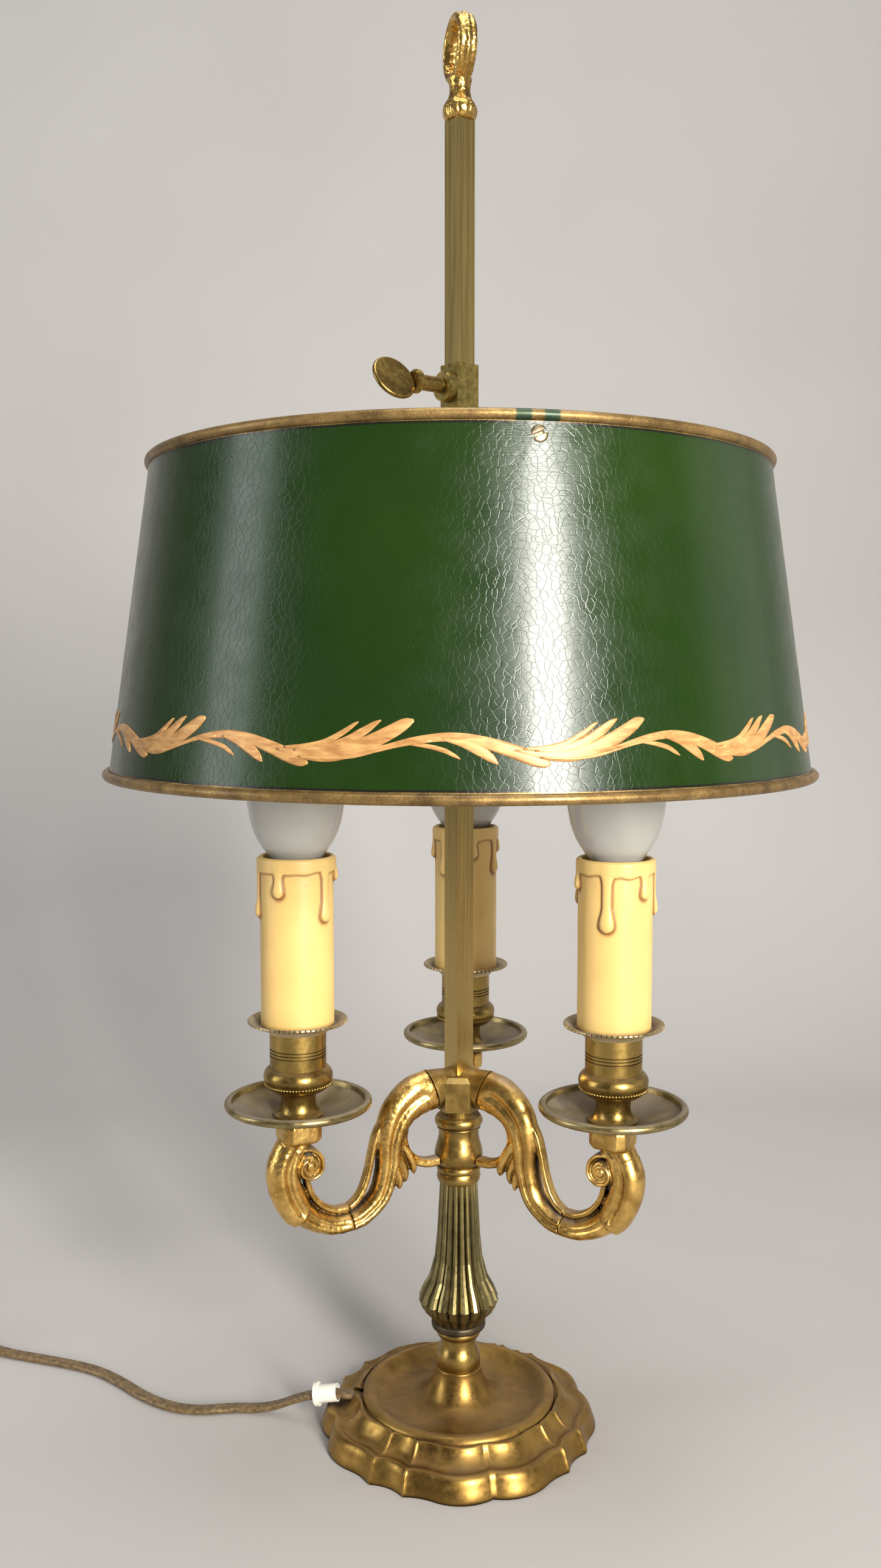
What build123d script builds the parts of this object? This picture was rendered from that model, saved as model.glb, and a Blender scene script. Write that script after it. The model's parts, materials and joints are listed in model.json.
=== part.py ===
from build123d import *
import math
import os

# Bouillotte lamp: three cast arms on a fluted stem, a square rod above them, and a painted
# metal shade that slides on the rod and is clamped by a thumb screw.
# Millimetres, +Z up, origin on the table under the stem axis, front towards -Y.

os.makedirs("parts", exist_ok=True)

# ---- driving dimensions ----------------------------------------------------------------

# base casting
BASE_R = 55.0            # peak of the lobes, at the table
BASE_TURN = 13.6         # angle of the first cusp of the lobed outline
BASE_WALL = 2.8          # cast wall
DISH_INSET = 21.8        # outline to the inner edge of the dish's bead
BEAD_WIDTH = 5.4
BEAD_TOP = 16.0
DISH_FLOOR = 11.5
CORD_HOLE_R = 3.1
CORD_INSIDE = (-33.0, -1.0, 9.9)     # where the cord starts, under the dish
CORD_OVER = (-45.3, -0.9, 13.9)      # where it turns down, over the lower tier

# stem, from the dish up
TUBE_R = 4.0             # threaded tube that ties the stem together
TUBE_BORE_R = 2.7
STEM_BORE_R = TUBE_R + 0.1
FOOT_R = 21.0            # feathered edge of the foot on the dish
FOOT_H = 13.5
VASE_H = 16.0
RING_R = 10.8
RING_H = 3.3
BALUSTER_H = 56.7
BALUSTER_R = 16.0        # crest of the ribs at the swelling
FLUTES = 20
COLLAR_H = 26.4
COLLAR_R = 9.15

# hub and rod
HUB_R = 10.6             # corners of the body's six faces
HUB_FACE_TURN = 27.3     # half of the angle that a face between two arms takes
HUB_EDGE = 1.8           # bevel round the top
HUB_NECK_R = 5.3
HUB_NECK_H = 3.5
HUB_BODY_H = 13.4
ROD_SIDE = 8.0
ROD_TURN = 38.5
ROD_LENGTH = 368.1
ROD_SOCKET = 6.3         # depth of the rod in the hub
ROD_FIT = 0.05

# finial
KNOP_R = 6.4
KNOP_H = 7.4
FINIAL_NECK_R = 3.9
FINIAL_NECK_H = 7.0
LOOP_R = 10.5            # centre line of the loop
LOOP_DEPTH = 1.7         # half thickness towards the loop's centre
LOOP_WIDTH = 3.7         # half width along the loop's axis
LOOP_TURN = -165.0
SPIGOT_R = 2.5
SPIGOT_H = 6.0

# arms
ARM_REACH = 67.2
ARM_ANGLES = {"left": 206.7, "right": 326.7, "back": 86.7}
BLOCK_SIDE = 14.8
BLOCK_H = 8.0
BLOCK_CORNER = 2.6
RIBBON_W = 4.6
RIBBON_T = 2.4

# candle fittings
PAN_R = 27.4
PAN_T = 1.2
PAN_RISE = 4.9           # floor, from the cup's foot to the rolled rim
CUP_FOOT_R = 9.0
CUP_WAIST_R = 6.4
CUP_BULGE_R = 12.85
CUP_SLEEVE_R = 10.45
CUP_H = 32.5
CUP_WALL = 1.5
CROWN_R = 18.5
CROWN_H = 4.6
CROWN_SEAT = 2.8         # crown's foot to the candle's foot
CROWN_TEETH = 60
NIPPLE_R = 5.0
NIPPLE_BORE_R = 3.6
CANDLE_R = 13.5
CANDLE_WALL = 1.0
CANDLE_H = 62.4
HOLDER_GAP = 1.1         # air between the candle tube and the lampholder
HOLDER_H = 50.0
CAP_R = 6.9
CAP_H = 25.0
BULB_R = 18.2
BULB_H = 72.0
GLASS_T = 1.0

# shade and its carrier
SHADE_TOP_R = 115.45     # centre line of the top bead
SHADE_BOTTOM_R = 132.45  # centre line of the bottom bead
SHADE_TOP_Z = 377.4
SHADE_BOTTOM_Z = 264.3
SHEET_T = 0.6
SHADE_BEAD_R = 1.75
SLEEVE_SIDE = 10.2
SLEEVE_GAP = 0.1         # running clearance on the rod
SLEEVE_TOP = 417.0
SLEEVE_H = 53.0
SPIDER_T = 1.5
SPIDER_W = 10.0
SPIDER_Z = 365.8
TAB_H = 9.4
TAB_FIT = 0.05           # tab to sheet
SPIDER_ANGLES = (-79.0, 41.0, 161.0)
SCREW_Z = 371.7
SCREW_R = 1.5
SCREW_HEAD_R = 2.6
SCREW_HEAD_H = 1.5
NUT_FLATS = 5.5
NUT_H = 2.4

# thumb screw
THUMB_Z = 408.4
THUMB_TURN = -141.5
BOSS_R = 5.6
BOSS_H = 3.9
THREAD_R = 2.4
THREAD_FIT = 0.05
SHANK_R = 2.9
SHANK_L = 9.6
THUMB_RING_R = 4.4
THUMB_RING_W = 3.2
PADDLE_R = 9.0
PADDLE_T = 2.4
PADDLE_TILT = 28.0

# cord and what is on it
CORD_R = 2.6
CORD_FIT = 0.3            # round the cord in a wall
BUSH_R = 3.5
BUSH_FLANGE_R = 4.6
BUSH_L = 9.3
COIL_CENTRE = (-330.0, 22.0)
COIL_TURN_R = 28.5       # middle of the turns
COIL_TURNS = 3           # turns side by side and on each other
FLEX_T = 2.9             # the flat flex across its thin side
SWITCH_L = 56.0
SWITCH_W = 22.0
SWITCH_H = 15.0
SWITCH_WALL = 1.8
SWITCH_CENTRE = (-252.0, 60.0)
ROCKER_L = 15.0
ROCKER_W = 8.6
ROCKER_PIN_R = 1.4
PLUG_BACK = -7.0          # y of the end the flex enters; the pins point along -Y
PLUG_L = 38.0
PLUG_W = 34.0
PLUG_T = 14.0
RELIEF_L = 20.0
PIN_R = 2.0
PIN_L = 19.0
PIN_TANG_R = 1.5          # where a pin is held in the body
PIN_TANG_L = 10.0
PIN_SPACING = 18.6

# ---- heights that follow ---------------------------------------------------------------

FOOT_Z = DISH_FLOOR
VASE_Z = FOOT_Z + FOOT_H
RING_Z = VASE_Z + VASE_H
BALUSTER_Z = RING_Z + RING_H
COLLAR_Z = BALUSTER_Z + BALUSTER_H
HUB_Z = COLLAR_Z + COLLAR_H
HUB_BODY_Z = HUB_Z + HUB_NECK_H
HUB_TOP_Z = HUB_BODY_Z + HUB_BODY_H
ROD_Z = HUB_TOP_Z - ROD_SOCKET
ROD_TOP_Z = ROD_Z + ROD_LENGTH
ARM_Z = HUB_Z + 12.0     # middle of the arm where it leaves the hub
BLOCK_Z = ARM_Z - 11.7
PAN_Z = BLOCK_Z + BLOCK_H
CUP_Z = PAN_Z + PAN_T
CROWN_Z = CUP_Z + CUP_H
CANDLE_Z = CROWN_Z + CROWN_SEAT
CANDLE_TOP = CANDLE_Z + CANDLE_H
HOLDER_Z = CANDLE_Z + 3.4
HOLDER_R = CANDLE_R - CANDLE_WALL - HOLDER_GAP
CAP_TOP = CANDLE_TOP - 8.5


def polar(radius, angle):
    return (radius * math.cos(math.radians(angle)), radius * math.sin(math.radians(angle)))


def save(part, name):
    part.label = name
    export_step(part, f"parts/{name}.step")


# ---- base ------------------------------------------------------------------------------

# One eighth of the lobed outline, from a cusp: angle and share of the lobe's radius.
CUSP, LOBE, SHOULDER, HOLLOW, CORNER, FACET = (
    (0.0, 0.949), (14.4, 1.0), (24.0, 0.972), (30.5, 0.955), (37.0, 0.978), (45.0, 0.938))

# The two tiers from the table up: inset from BASE_R and height.
TIERS = ((0.4, 0.0), (0.0, 1.0), (1.4, 5.0), (1.9, 7.8), (3.4, 9.0), (5.2, 9.1),
         (6.6, 8.5), (9.6, 9.5), (11.7, 11.3), (12.6, 13.4), (13.4, 14.4), (14.4, 14.5))


def lobed_outline(radius):
    """Closed lobed wire: per quarter two lobes that meet at a cusp, and a corner facet."""
    def point(mark, quarter, mirrored=False):
        angle = 90.0 - mark[0] if mirrored else mark[0]
        return polar(radius * mark[1], BASE_TURN + 90.0 * quarter + angle)

    for quarter in range(4):
        ThreePointArc(point(CUSP, quarter), point(LOBE, quarter), point(SHOULDER, quarter))
        ThreePointArc(point(SHOULDER, quarter), point(HOLLOW, quarter), point(CORNER, quarter))
        ThreePointArc(point(CORNER, quarter), point(FACET, quarter), point(CORNER, quarter, True))
        ThreePointArc(point(CORNER, quarter, True), point(HOLLOW, quarter, True),
                      point(SHOULDER, quarter, True))
        ThreePointArc(point(SHOULDER, quarter, True), point(LOBE, quarter, True),
                      point(CUSP, quarter + 1))


DISH_R = BASE_R - DISH_INSET
BEAD_R = DISH_R + BEAD_WIDTH
CEILING_Z = DISH_FLOOR - BASE_WALL

with BuildPart() as base_casting:
    for inset, height in TIERS:
        with BuildSketch(Plane.XY.offset(height)):
            with BuildLine():
                lobed_outline(BASE_R - inset)
            make_face()
    loft(ruled=True)
    # clear the middle, then turn the bead and the dish in it
    with BuildSketch(Plane.XY.offset(CEILING_Z)):
        Circle(BEAD_R + 0.3)
    extrude(amount=BEAD_TOP, mode=Mode.SUBTRACT)
    with BuildSketch(Plane.XZ):
        with BuildLine():
            Polyline((STEM_BORE_R, CEILING_Z), (STEM_BORE_R, DISH_FLOOR), (FOOT_R + 3, DISH_FLOOR))
            ThreePointArc((FOOT_R + 3, DISH_FLOOR), (DISH_R - 4.5, DISH_FLOOR + 0.7),
                          (DISH_R, BEAD_TOP - 1.4))
            ThreePointArc((DISH_R, BEAD_TOP - 1.4), (DISH_R + BEAD_WIDTH / 2, BEAD_TOP),
                          (BEAD_R, BEAD_TOP - 1.9))
            Polyline((BEAD_R, BEAD_TOP - 1.9), (BEAD_R + 0.3, BEAD_TOP - 3.0),
                     (BEAD_R + 0.3, CEILING_Z), (STEM_BORE_R, CEILING_Z))
        make_face()
    revolve(axis=Axis.Z)
    # hollow underside
    valley = BASE_R * FACET[1]
    with BuildSketch(Plane.XZ):
        with BuildLine():
            Polyline((0, -1), (valley - BASE_WALL - 1.4, -1), (valley - BASE_WALL - 1.8, 4.8),
                     (BEAD_R + 4.3, 5.6), (BEAD_R + 1.0, 7.4), (BEAD_R - 1.2, BEAD_TOP - 5.2),
                     (DISH_R + 0.8, BEAD_TOP - 5.2), (DISH_R - 2.4, CEILING_Z), (0, CEILING_Z),
                     (0, -1))
        make_face()
    revolve(axis=Axis.Z, mode=Mode.SUBTRACT)
    # cord hole in the cove
    with BuildSketch(Plane(origin=CORD_INSIDE, z_dir=Vector(*CORD_OVER) - Vector(*CORD_INSIDE))):
        Circle(CORD_HOLE_R)
    extrude(amount=DISH_INSET, mode=Mode.SUBTRACT)
save(base_casting.part, "base_casting")

WASHER_R, WASHER_T = 12.0, 1.5
LOCKNUT_FLATS, LOCKNUT_H = 13.0, 4.5

with BuildPart() as base_washer:
    with BuildSketch(Plane.XY.offset(CEILING_Z - WASHER_T)):
        Circle(WASHER_R)
        Circle(STEM_BORE_R, mode=Mode.SUBTRACT)
    extrude(amount=WASHER_T)
save(base_washer.part, "base_washer")

with BuildPart() as base_nut:
    with BuildSketch(Plane.XY.offset(CEILING_Z - WASHER_T - LOCKNUT_H)):
        RegularPolygon(LOCKNUT_FLATS / 2, 6, major_radius=False)
        Circle(TUBE_R, mode=Mode.SUBTRACT)
    extrude(amount=LOCKNUT_H)
save(base_nut.part, "base_nut")

TUBE_Z = CEILING_Z - WASHER_T - LOCKNUT_H - 1.0
TUBE_TOP = HUB_BODY_Z + 3.0

with BuildPart() as tie_tube:
    with BuildSketch(Plane.XY.offset(TUBE_Z)):
        Circle(TUBE_R)
        Circle(TUBE_BORE_R, mode=Mode.SUBTRACT)
    extrude(amount=TUBE_TOP - TUBE_Z)
save(tie_tube.part, "tie_tube")

# ---- stem ------------------------------------------------------------------------------

VASE_FOOT_R = 9.0

with BuildPart() as stem_foot:
    with BuildSketch(Plane.XZ):
        with BuildLine():
            Polyline((STEM_BORE_R, FOOT_Z), (FOOT_R, FOOT_Z), (FOOT_R, FOOT_Z + 0.35))
            Spline((FOOT_R, FOOT_Z + 0.35), (FOOT_R - 3.4, FOOT_Z + 1.0),
                   (FOOT_R - 6.6, FOOT_Z + 2.7), (FOOT_R - 9.3, FOOT_Z + 5.9),
                   (VASE_FOOT_R + 1.2, FOOT_Z + 9.2), (VASE_FOOT_R, VASE_Z))
            Polyline((VASE_FOOT_R, VASE_Z), (STEM_BORE_R, VASE_Z), (STEM_BORE_R, FOOT_Z))
        make_face()
    revolve(axis=Axis.Z)
save(stem_foot.part, "stem_foot")

VASE_R, VASE_NECK_R = 8.8, 7.05

with BuildPart() as stem_vase:
    with BuildSketch(Plane.XZ):
        with BuildLine():
            Line((STEM_BORE_R, VASE_Z), (VASE_R - 0.3, VASE_Z))
            Spline((VASE_R - 0.3, VASE_Z), (VASE_R, VASE_Z + 2.5), (VASE_R - 0.4, VASE_Z + 6.0),
                   (VASE_NECK_R, VASE_Z + 11.4), tangents=((0.3, 1), (0, 1)))
            Line((VASE_NECK_R, VASE_Z + 11.4), (VASE_NECK_R, VASE_Z + 12.2))
            ThreePointArc((VASE_NECK_R, VASE_Z + 12.2), (VASE_R, VASE_Z + 14.2),
                          (VASE_R - 0.6, VASE_Z + VASE_H))
            Polyline((VASE_R - 0.6, VASE_Z + VASE_H), (STEM_BORE_R, VASE_Z + VASE_H),
                     (STEM_BORE_R, VASE_Z))
        make_face()
    revolve(axis=Axis.Z)
save(stem_vase.part, "stem_vase")

with BuildPart() as stem_ring:
    with BuildSketch(Plane.XY.offset(RING_Z)):
        Circle(RING_R)
        Circle(STEM_BORE_R, mode=Mode.SUBTRACT)
    extrude(amount=RING_H)
    fillet(stem_ring.edges().filter_by(GeomType.CIRCLE).group_by(SortBy.RADIUS)[-1], 1.2)
save(stem_ring.part, "stem_ring")

# Rib crest radius up the baluster, as a share of its height.
BALUSTER_FORM = ((0.0, 10.3), (0.04, 11.8), (0.09, 14.6), (0.155, BALUSTER_R), (0.225, 14.4),
                 (0.31, 11.7), (0.45, 9.6), (0.63, 8.6), (0.82, 8.0), (1.0, 7.5))
# One rib's outline: share of the pitch and share of the crest radius.
RIB = ((0.0, 0.89), (0.24, 0.985), (0.5, 1.0), (0.76, 0.985))

with BuildPart() as fluted_baluster:
    for share, crest in BALUSTER_FORM:
        with BuildSketch(Plane.XY.offset(BALUSTER_Z + share * BALUSTER_H)):
            with BuildLine():
                Polyline(*[polar(crest * out, (rib + across) * 360.0 / FLUTES)
                           for rib in range(FLUTES) for across, out in RIB], close=True)
            make_face()
    loft(ruled=True)
    with BuildSketch(Plane.XY.offset(BALUSTER_Z)):
        Circle(STEM_BORE_R)
    extrude(amount=BALUSTER_H, mode=Mode.SUBTRACT)
save(fluted_baluster.part, "fluted_baluster")

FLANGE_R = 9.5

with BuildPart() as collar_vase:
    with BuildSketch(Plane.XZ):
        with BuildLine():
            Line((STEM_BORE_R, COLLAR_Z), (COLLAR_R - 1.2, COLLAR_Z))
            ThreePointArc((COLLAR_R - 1.2, COLLAR_Z), (COLLAR_R - 0.5, COLLAR_Z + 2.0),
                          (COLLAR_R - 1.0, COLLAR_Z + 4.1))
            ThreePointArc((COLLAR_R - 1.0, COLLAR_Z + 4.1), (COLLAR_R - 0.4, COLLAR_Z + 5.5),
                          (COLLAR_R - 1.0, COLLAR_Z + 6.9))
            Spline((COLLAR_R - 1.0, COLLAR_Z + 6.9), (COLLAR_R, COLLAR_Z + 13.6),
                   (COLLAR_R - 1.25, COLLAR_Z + 19.0), (COLLAR_R - 1.0, COLLAR_Z + 21.4))
            ThreePointArc((COLLAR_R - 1.0, COLLAR_Z + 21.4), (COLLAR_R - 0.5, COLLAR_Z + 21.9),
                          (COLLAR_R - 0.9, COLLAR_Z + 22.4))
            ThreePointArc((COLLAR_R - 0.9, COLLAR_Z + 22.4), (FLANGE_R, COLLAR_Z + 24.6),
                          (FLANGE_R - 0.9, COLLAR_Z + COLLAR_H))
            Polyline((FLANGE_R - 0.9, COLLAR_Z + COLLAR_H), (STEM_BORE_R, COLLAR_Z + COLLAR_H),
                     (STEM_BORE_R, COLLAR_Z))
        make_face()
    revolve(axis=Axis.Z)
save(collar_vase.part, "collar_vase")

# ---- arms ------------------------------------------------------------------------------

# The limb's oval sections in the arm's own plane: distance from the stem axis, height above
# ARM_Z, direction of the limb, half depth in the plane and half width across it.
HUB_END = (0.0, -0.4, 1.0, 0.0, 7.6, 5.8)
SEAM_END = (12.1, 0.0, 0.95, -0.31, 8.2, 5.8)
U_SEAM = (46.8, -46.4, 0.98, -0.17, 3.7, 4.8)
INNER_LIMB = (SEAM_END, (20.0, -2.0, 0.88, -0.47, 8.0, 5.8), (27.0, -8.2, 0.45, -0.89, 7.2, 5.6),
              (30.3, -17.4, 0.10, -1.0, 5.4, 5.2), (31.2, -27.9, 0.12, -0.99, 4.6, 4.9),
              (34.6, -38.4, 0.55, -0.83, 4.3, 4.8), (41.5, -44.6, 0.88, -0.47, 4.0, 4.8), U_SEAM)
OUTER_LIMB = (U_SEAM, (54.5, -46.2, 0.97, 0.25, 3.9, 4.9), (63.5, -41.9, 0.78, 0.62, 4.6, 5.2),
              (70.6, -33.4, 0.45, 0.89, 5.3, 5.4), (73.6, -23.4, 0.05, 1.0, 5.6, 5.6),
              (71.6, -15.8, -0.45, 0.89, 5.6, 5.8), (ARM_REACH, -11.7, 0.0, 1.0, 6.8, 6.4))
RIBBON_RISE = 5.6        # ribbon above the limb at the seam
RIBBON_ALONG = U_SEAM[2:4]
RIBBON_JOINT = (U_SEAM[0] - RIBBON_RISE * U_SEAM[3] / U_SEAM[2], U_SEAM[1] + RIBBON_RISE)
RIBBON_INNER = ((34.3, -11.4), (37.0, -17.6), (38.6, -25.8), (41.0, -33.4), (44.0, -38.2),
                RIBBON_JOINT)
RIBBON_OUTER = (RIBBON_JOINT, (53.2, -40.8), (58.8, -37.8), (62.9, -32.6), (64.7, -26.6))
TENDRIL = ((25.0, -16.0), (23.6, -22.4), (19.8, -26.8), (14.6, -28.8), (9.5, -28.7))
VOLUTE_CENTRE = (64.3, -21.0)
VOLUTE_R = 4.5
VOLUTE_W = 8.8
SHEATH = ((73.6, -21.0, 0.0, 1.0, 6.4, 6.0), (71.4, -32.0, 0.40, 0.92, 6.3, 6.1),
          (66.2, -40.2, 0.70, 0.71, 5.9, 5.7))
LEAF_TIPS = ((21.2, -31.5), (23.8, -34.6), (26.6, -35.4))
LEAF_ROOT = (28.6, -15.5)
LEAF_R = 2.7


def limb_sections(rows):
    ovals = []
    for rho, height, along, up, depth, width in rows:
        plane = Plane(origin=(rho, 0, ARM_Z + height), x_dir=(0, 1, 0), z_dir=(along, 0, up))
        with BuildSketch(plane) as oval:
            Ellipse(width, depth)
        ovals.append(oval.sketch)
    loft(ovals)


def strip(points, width, thickness, start=None, end=None):
    """A flat strip that follows points of the arm's plane."""
    spots = [Vector(rho, 0, ARM_Z + height) for rho, height in points]
    start = start or (points[1][0] - points[0][0], points[1][1] - points[0][1])
    end = end or (points[-1][0] - points[-2][0], points[-1][1] - points[-2][1])
    with BuildLine() as path:
        Spline(*spots, tangents=((start[0], 0, start[1]), (end[0], 0, end[1])))
    with BuildSketch(Plane(origin=path.line @ 0, x_dir=(0, 1, 0), z_dir=path.line % 0)) as face:
        RectangleRounded(width, thickness, thickness * 0.35)
    sweep(sections=face.sketch, path=path.line)


def place(part, angle):
    return Rot(0, 0, angle) * part


with BuildPart() as hub:
    with BuildSketch(Plane.XY.offset(HUB_Z)):
        Circle(HUB_NECK_R)
    extrude(amount=HUB_NECK_H)
    # six faces: the wider three show between the arms
    for foot, top, taper in ((HUB_BODY_Z, HUB_TOP_Z - HUB_EDGE, 0),
                             (HUB_TOP_Z - HUB_EDGE, HUB_TOP_Z, 45)):
        with BuildSketch(Plane.XY.offset(foot)):
            with BuildLine():
                Polyline(*[polar(HUB_R, angle + 180 + side * HUB_FACE_TURN)
                           for angle in sorted(ARM_ANGLES.values()) for side in (-1, 1)],
                         close=True)
            make_face()
        extrude(amount=top - foot, taper=taper)
    with BuildPart(mode=Mode.PRIVATE) as stub:
        limb_sections((HUB_END, SEAM_END))
    for angle in ARM_ANGLES.values():
        add(place(stub.part, angle))
    with BuildSketch(Plane.XY.offset(ROD_Z)):
        Rectangle(ROD_SIDE + 2 * ROD_FIT, ROD_SIDE + 2 * ROD_FIT, rotation=ROD_TURN)
    extrude(amount=HUB_BODY_H + SEAM_END[4], mode=Mode.SUBTRACT)
    with BuildSketch(Plane.XY.offset(HUB_Z)):
        Circle(TUBE_R)
    extrude(amount=TUBE_TOP - HUB_Z, mode=Mode.SUBTRACT)
save(hub.part, "hub")

with BuildPart() as arm_inner:
    limb_sections(INNER_LIMB)
    strip(RIBBON_INNER, RIBBON_W, RIBBON_T, end=RIBBON_ALONG)
    strip(TENDRIL, 5.4, 4.0)
    for tip, lean in zip(LEAF_TIPS, (-3.0, 0.0, 3.0)):
        root = Vector(LEAF_ROOT[0], 0, ARM_Z + LEAF_ROOT[1])
        end = Vector(tip[0], lean, ARM_Z + tip[1])
        along = end - root
        with BuildSketch(Plane(origin=root, z_dir=along)) as leaf_root:
            Circle(LEAF_R * 0.8)
        with BuildSketch(Plane(origin=root + along * 0.62, z_dir=along)) as leaf_belly:
            Circle(LEAF_R * 1.15)
        with BuildSketch(Plane(origin=end, z_dir=along)) as leaf_tip:
            Circle(LEAF_R * 0.45)
        loft()

with BuildPart() as arm_outer:
    limb_sections(OUTER_LIMB)
    with BuildSketch(Plane.XY.offset(BLOCK_Z)) as block:
        with Locations((ARM_REACH, 0)):
            Rectangle(BLOCK_SIDE, BLOCK_SIDE)
        chamfer(block.vertices(), BLOCK_CORNER)
    extrude(amount=BLOCK_H)
    strip(RIBBON_OUTER, RIBBON_W, RIBBON_T, start=RIBBON_ALONG)
    limb_sections(SHEATH)
    volute_plane = Plane(origin=(VOLUTE_CENTRE[0], VOLUTE_W / 2, ARM_Z + VOLUTE_CENTRE[1]),
                         x_dir=(1, 0, 0), z_dir=(0, -1, 0))
    with BuildSketch(volute_plane):
        Circle(VOLUTE_R)
    extrude(amount=VOLUTE_W)
    with BuildSketch(Plane.XY.offset(PAN_Z)):
        with Locations((ARM_REACH, 0)):
            Circle(NIPPLE_R)
    extrude(amount=-5.0, mode=Mode.SUBTRACT)

for side, angle in ARM_ANGLES.items():
    save(place(arm_inner.part, angle), f"arm_inner_{side}")
    save(place(arm_outer.part, angle), f"arm_outer_{side}")

# ---- candle fittings, built once about +Z and set on each arm --------------------------

RIM_Z = PAN_Z + PAN_T + PAN_RISE + 0.7     # middle of the pan's rolled rim

with BuildPart() as drip_pan:
    with BuildSketch(Plane.XZ):
        with BuildLine():
            Polyline((NIPPLE_R, PAN_Z), (CUP_FOOT_R + 0.5, PAN_Z), (PAN_R - 2.6, RIM_Z - 1.3))
            ThreePointArc((PAN_R - 2.6, RIM_Z - 1.3), (PAN_R, RIM_Z), (PAN_R - 2.6, RIM_Z + 1.0))
            Polyline((PAN_R - 2.6, RIM_Z + 1.0), (PAN_R - 3.0, PAN_Z + PAN_T + PAN_RISE),
                     (CUP_FOOT_R + 0.5, PAN_Z + PAN_T), (NIPPLE_R, PAN_Z + PAN_T),
                     (NIPPLE_R, PAN_Z))
        make_face()
    revolve(axis=Axis.Z)

with BuildPart() as candle_cup:
    with BuildSketch(Plane.XZ):
        with BuildLine():
            Polyline((NIPPLE_R, CUP_Z), (CUP_FOOT_R, CUP_Z), (CUP_FOOT_R, CUP_Z + 1.2))
            Spline((CUP_FOOT_R, CUP_Z + 1.2), (CUP_FOOT_R - 1.7, CUP_Z + 2.7),
                   (CUP_WAIST_R, CUP_Z + 6.6), (CUP_WAIST_R + 0.5, CUP_Z + 9.3))
            Line((CUP_WAIST_R + 0.5, CUP_Z + 9.3), (CUP_WAIST_R + 1.3, CUP_Z + 9.6))
            ThreePointArc((CUP_WAIST_R + 1.3, CUP_Z + 9.6), (CUP_BULGE_R - 1.3, CUP_Z + 11.9),
                          (CUP_BULGE_R, CUP_Z + 15.4))
            ThreePointArc((CUP_BULGE_R, CUP_Z + 15.4), (CUP_BULGE_R - 0.8, CUP_Z + 18.0),
                          (CUP_SLEEVE_R, CUP_Z + 19.2))
            Polyline((CUP_SLEEVE_R, CUP_Z + 19.2), (CUP_SLEEVE_R, CUP_Z + CUP_H),
                     (CUP_SLEEVE_R - CUP_WALL, CUP_Z + CUP_H),
                     (CUP_SLEEVE_R - CUP_WALL, CUP_Z + 18.0), (NIPPLE_R, CUP_Z + 15.0),
                     (NIPPLE_R, CUP_Z))
        make_face()
    revolve(axis=Axis.Z)
    # turned lines round the sleeve
    with BuildSketch(Plane.XZ):
        with Locations(*[(CUP_SLEEVE_R, CUP_Z + 23.8 + 1.2 * line) for line in range(3)]):
            Rectangle(0.7, 0.5)
    revolve(axis=Axis.Z, mode=Mode.SUBTRACT)

with BuildPart() as crown:
    with BuildSketch(Plane.XZ):
        with BuildLine():
            Polyline((NIPPLE_R, CROWN_Z), (CUP_SLEEVE_R + 0.8, CROWN_Z),
                     (CUP_SLEEVE_R + 1.4, CROWN_Z + 1.6), (CROWN_R - 0.6, CROWN_Z + CROWN_H - 1.3))
            ThreePointArc((CROWN_R - 0.6, CROWN_Z + CROWN_H - 1.3), (CROWN_R, CROWN_Z + CROWN_H - 0.6),
                          (CROWN_R - 0.6, CROWN_Z + CROWN_H))
            Polyline((CROWN_R - 0.6, CROWN_Z + CROWN_H), (CROWN_R - 1.8, CROWN_Z + CROWN_H - 0.5),
                     (CANDLE_R + 0.6, CANDLE_Z), (NIPPLE_R, CANDLE_Z), (NIPPLE_R, CROWN_Z))
        make_face()
    revolve(axis=Axis.Z)
    # notches between the fine teeth of the rim
    with BuildSketch(Plane.XY.offset(CROWN_Z)):
        with PolarLocations(CROWN_R + 0.1, CROWN_TEETH):
            RegularPolygon(0.8, 3, rotation=180)
    extrude(amount=CROWN_H, mode=Mode.SUBTRACT)

with BuildPart() as candle_tube:
    with BuildSketch(Plane.XZ):
        with BuildLine():
            Polyline((CANDLE_R - CANDLE_WALL, CANDLE_Z), (CANDLE_R, CANDLE_Z),
                     (CANDLE_R, CANDLE_TOP - 8.0))
            ThreePointArc((CANDLE_R, CANDLE_TOP - 8.0), (CANDLE_R + 0.7, CANDLE_TOP - 3.0),
                          (CANDLE_R, CANDLE_TOP))
            Polyline((CANDLE_R, CANDLE_TOP), (CANDLE_R - CANDLE_WALL, CANDLE_TOP),
                     (CANDLE_R - CANDLE_WALL, CANDLE_Z))
        make_face()
    revolve(axis=Axis.Z)

CAP_Z = CAP_TOP - CAP_H

with BuildPart() as lampholder:
    with BuildSketch(Plane.XY.offset(HOLDER_Z)):
        Circle(HOLDER_R)
    extrude(amount=HOLDER_H)
    with BuildSketch(Plane.XY.offset(CAP_Z - 2.0)):
        Circle(CAP_R)
    extrude(amount=HOLDER_H, mode=Mode.SUBTRACT)
    with BuildSketch(Plane.XY.offset(HOLDER_Z)):
        Circle(NIPPLE_R)
    extrude(amount=6.0, mode=Mode.SUBTRACT)
    with BuildSketch(Plane.XY.offset(HOLDER_Z)):
        Circle(NIPPLE_BORE_R)
    extrude(amount=HOLDER_H, mode=Mode.SUBTRACT)

with BuildPart() as nipple:
    with BuildSketch(Plane.XY.offset(PAN_Z - 5.0)):
        Circle(NIPPLE_R)
        Circle(NIPPLE_BORE_R, mode=Mode.SUBTRACT)
    extrude(amount=HOLDER_Z + 6.0 - (PAN_Z - 5.0))

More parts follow.
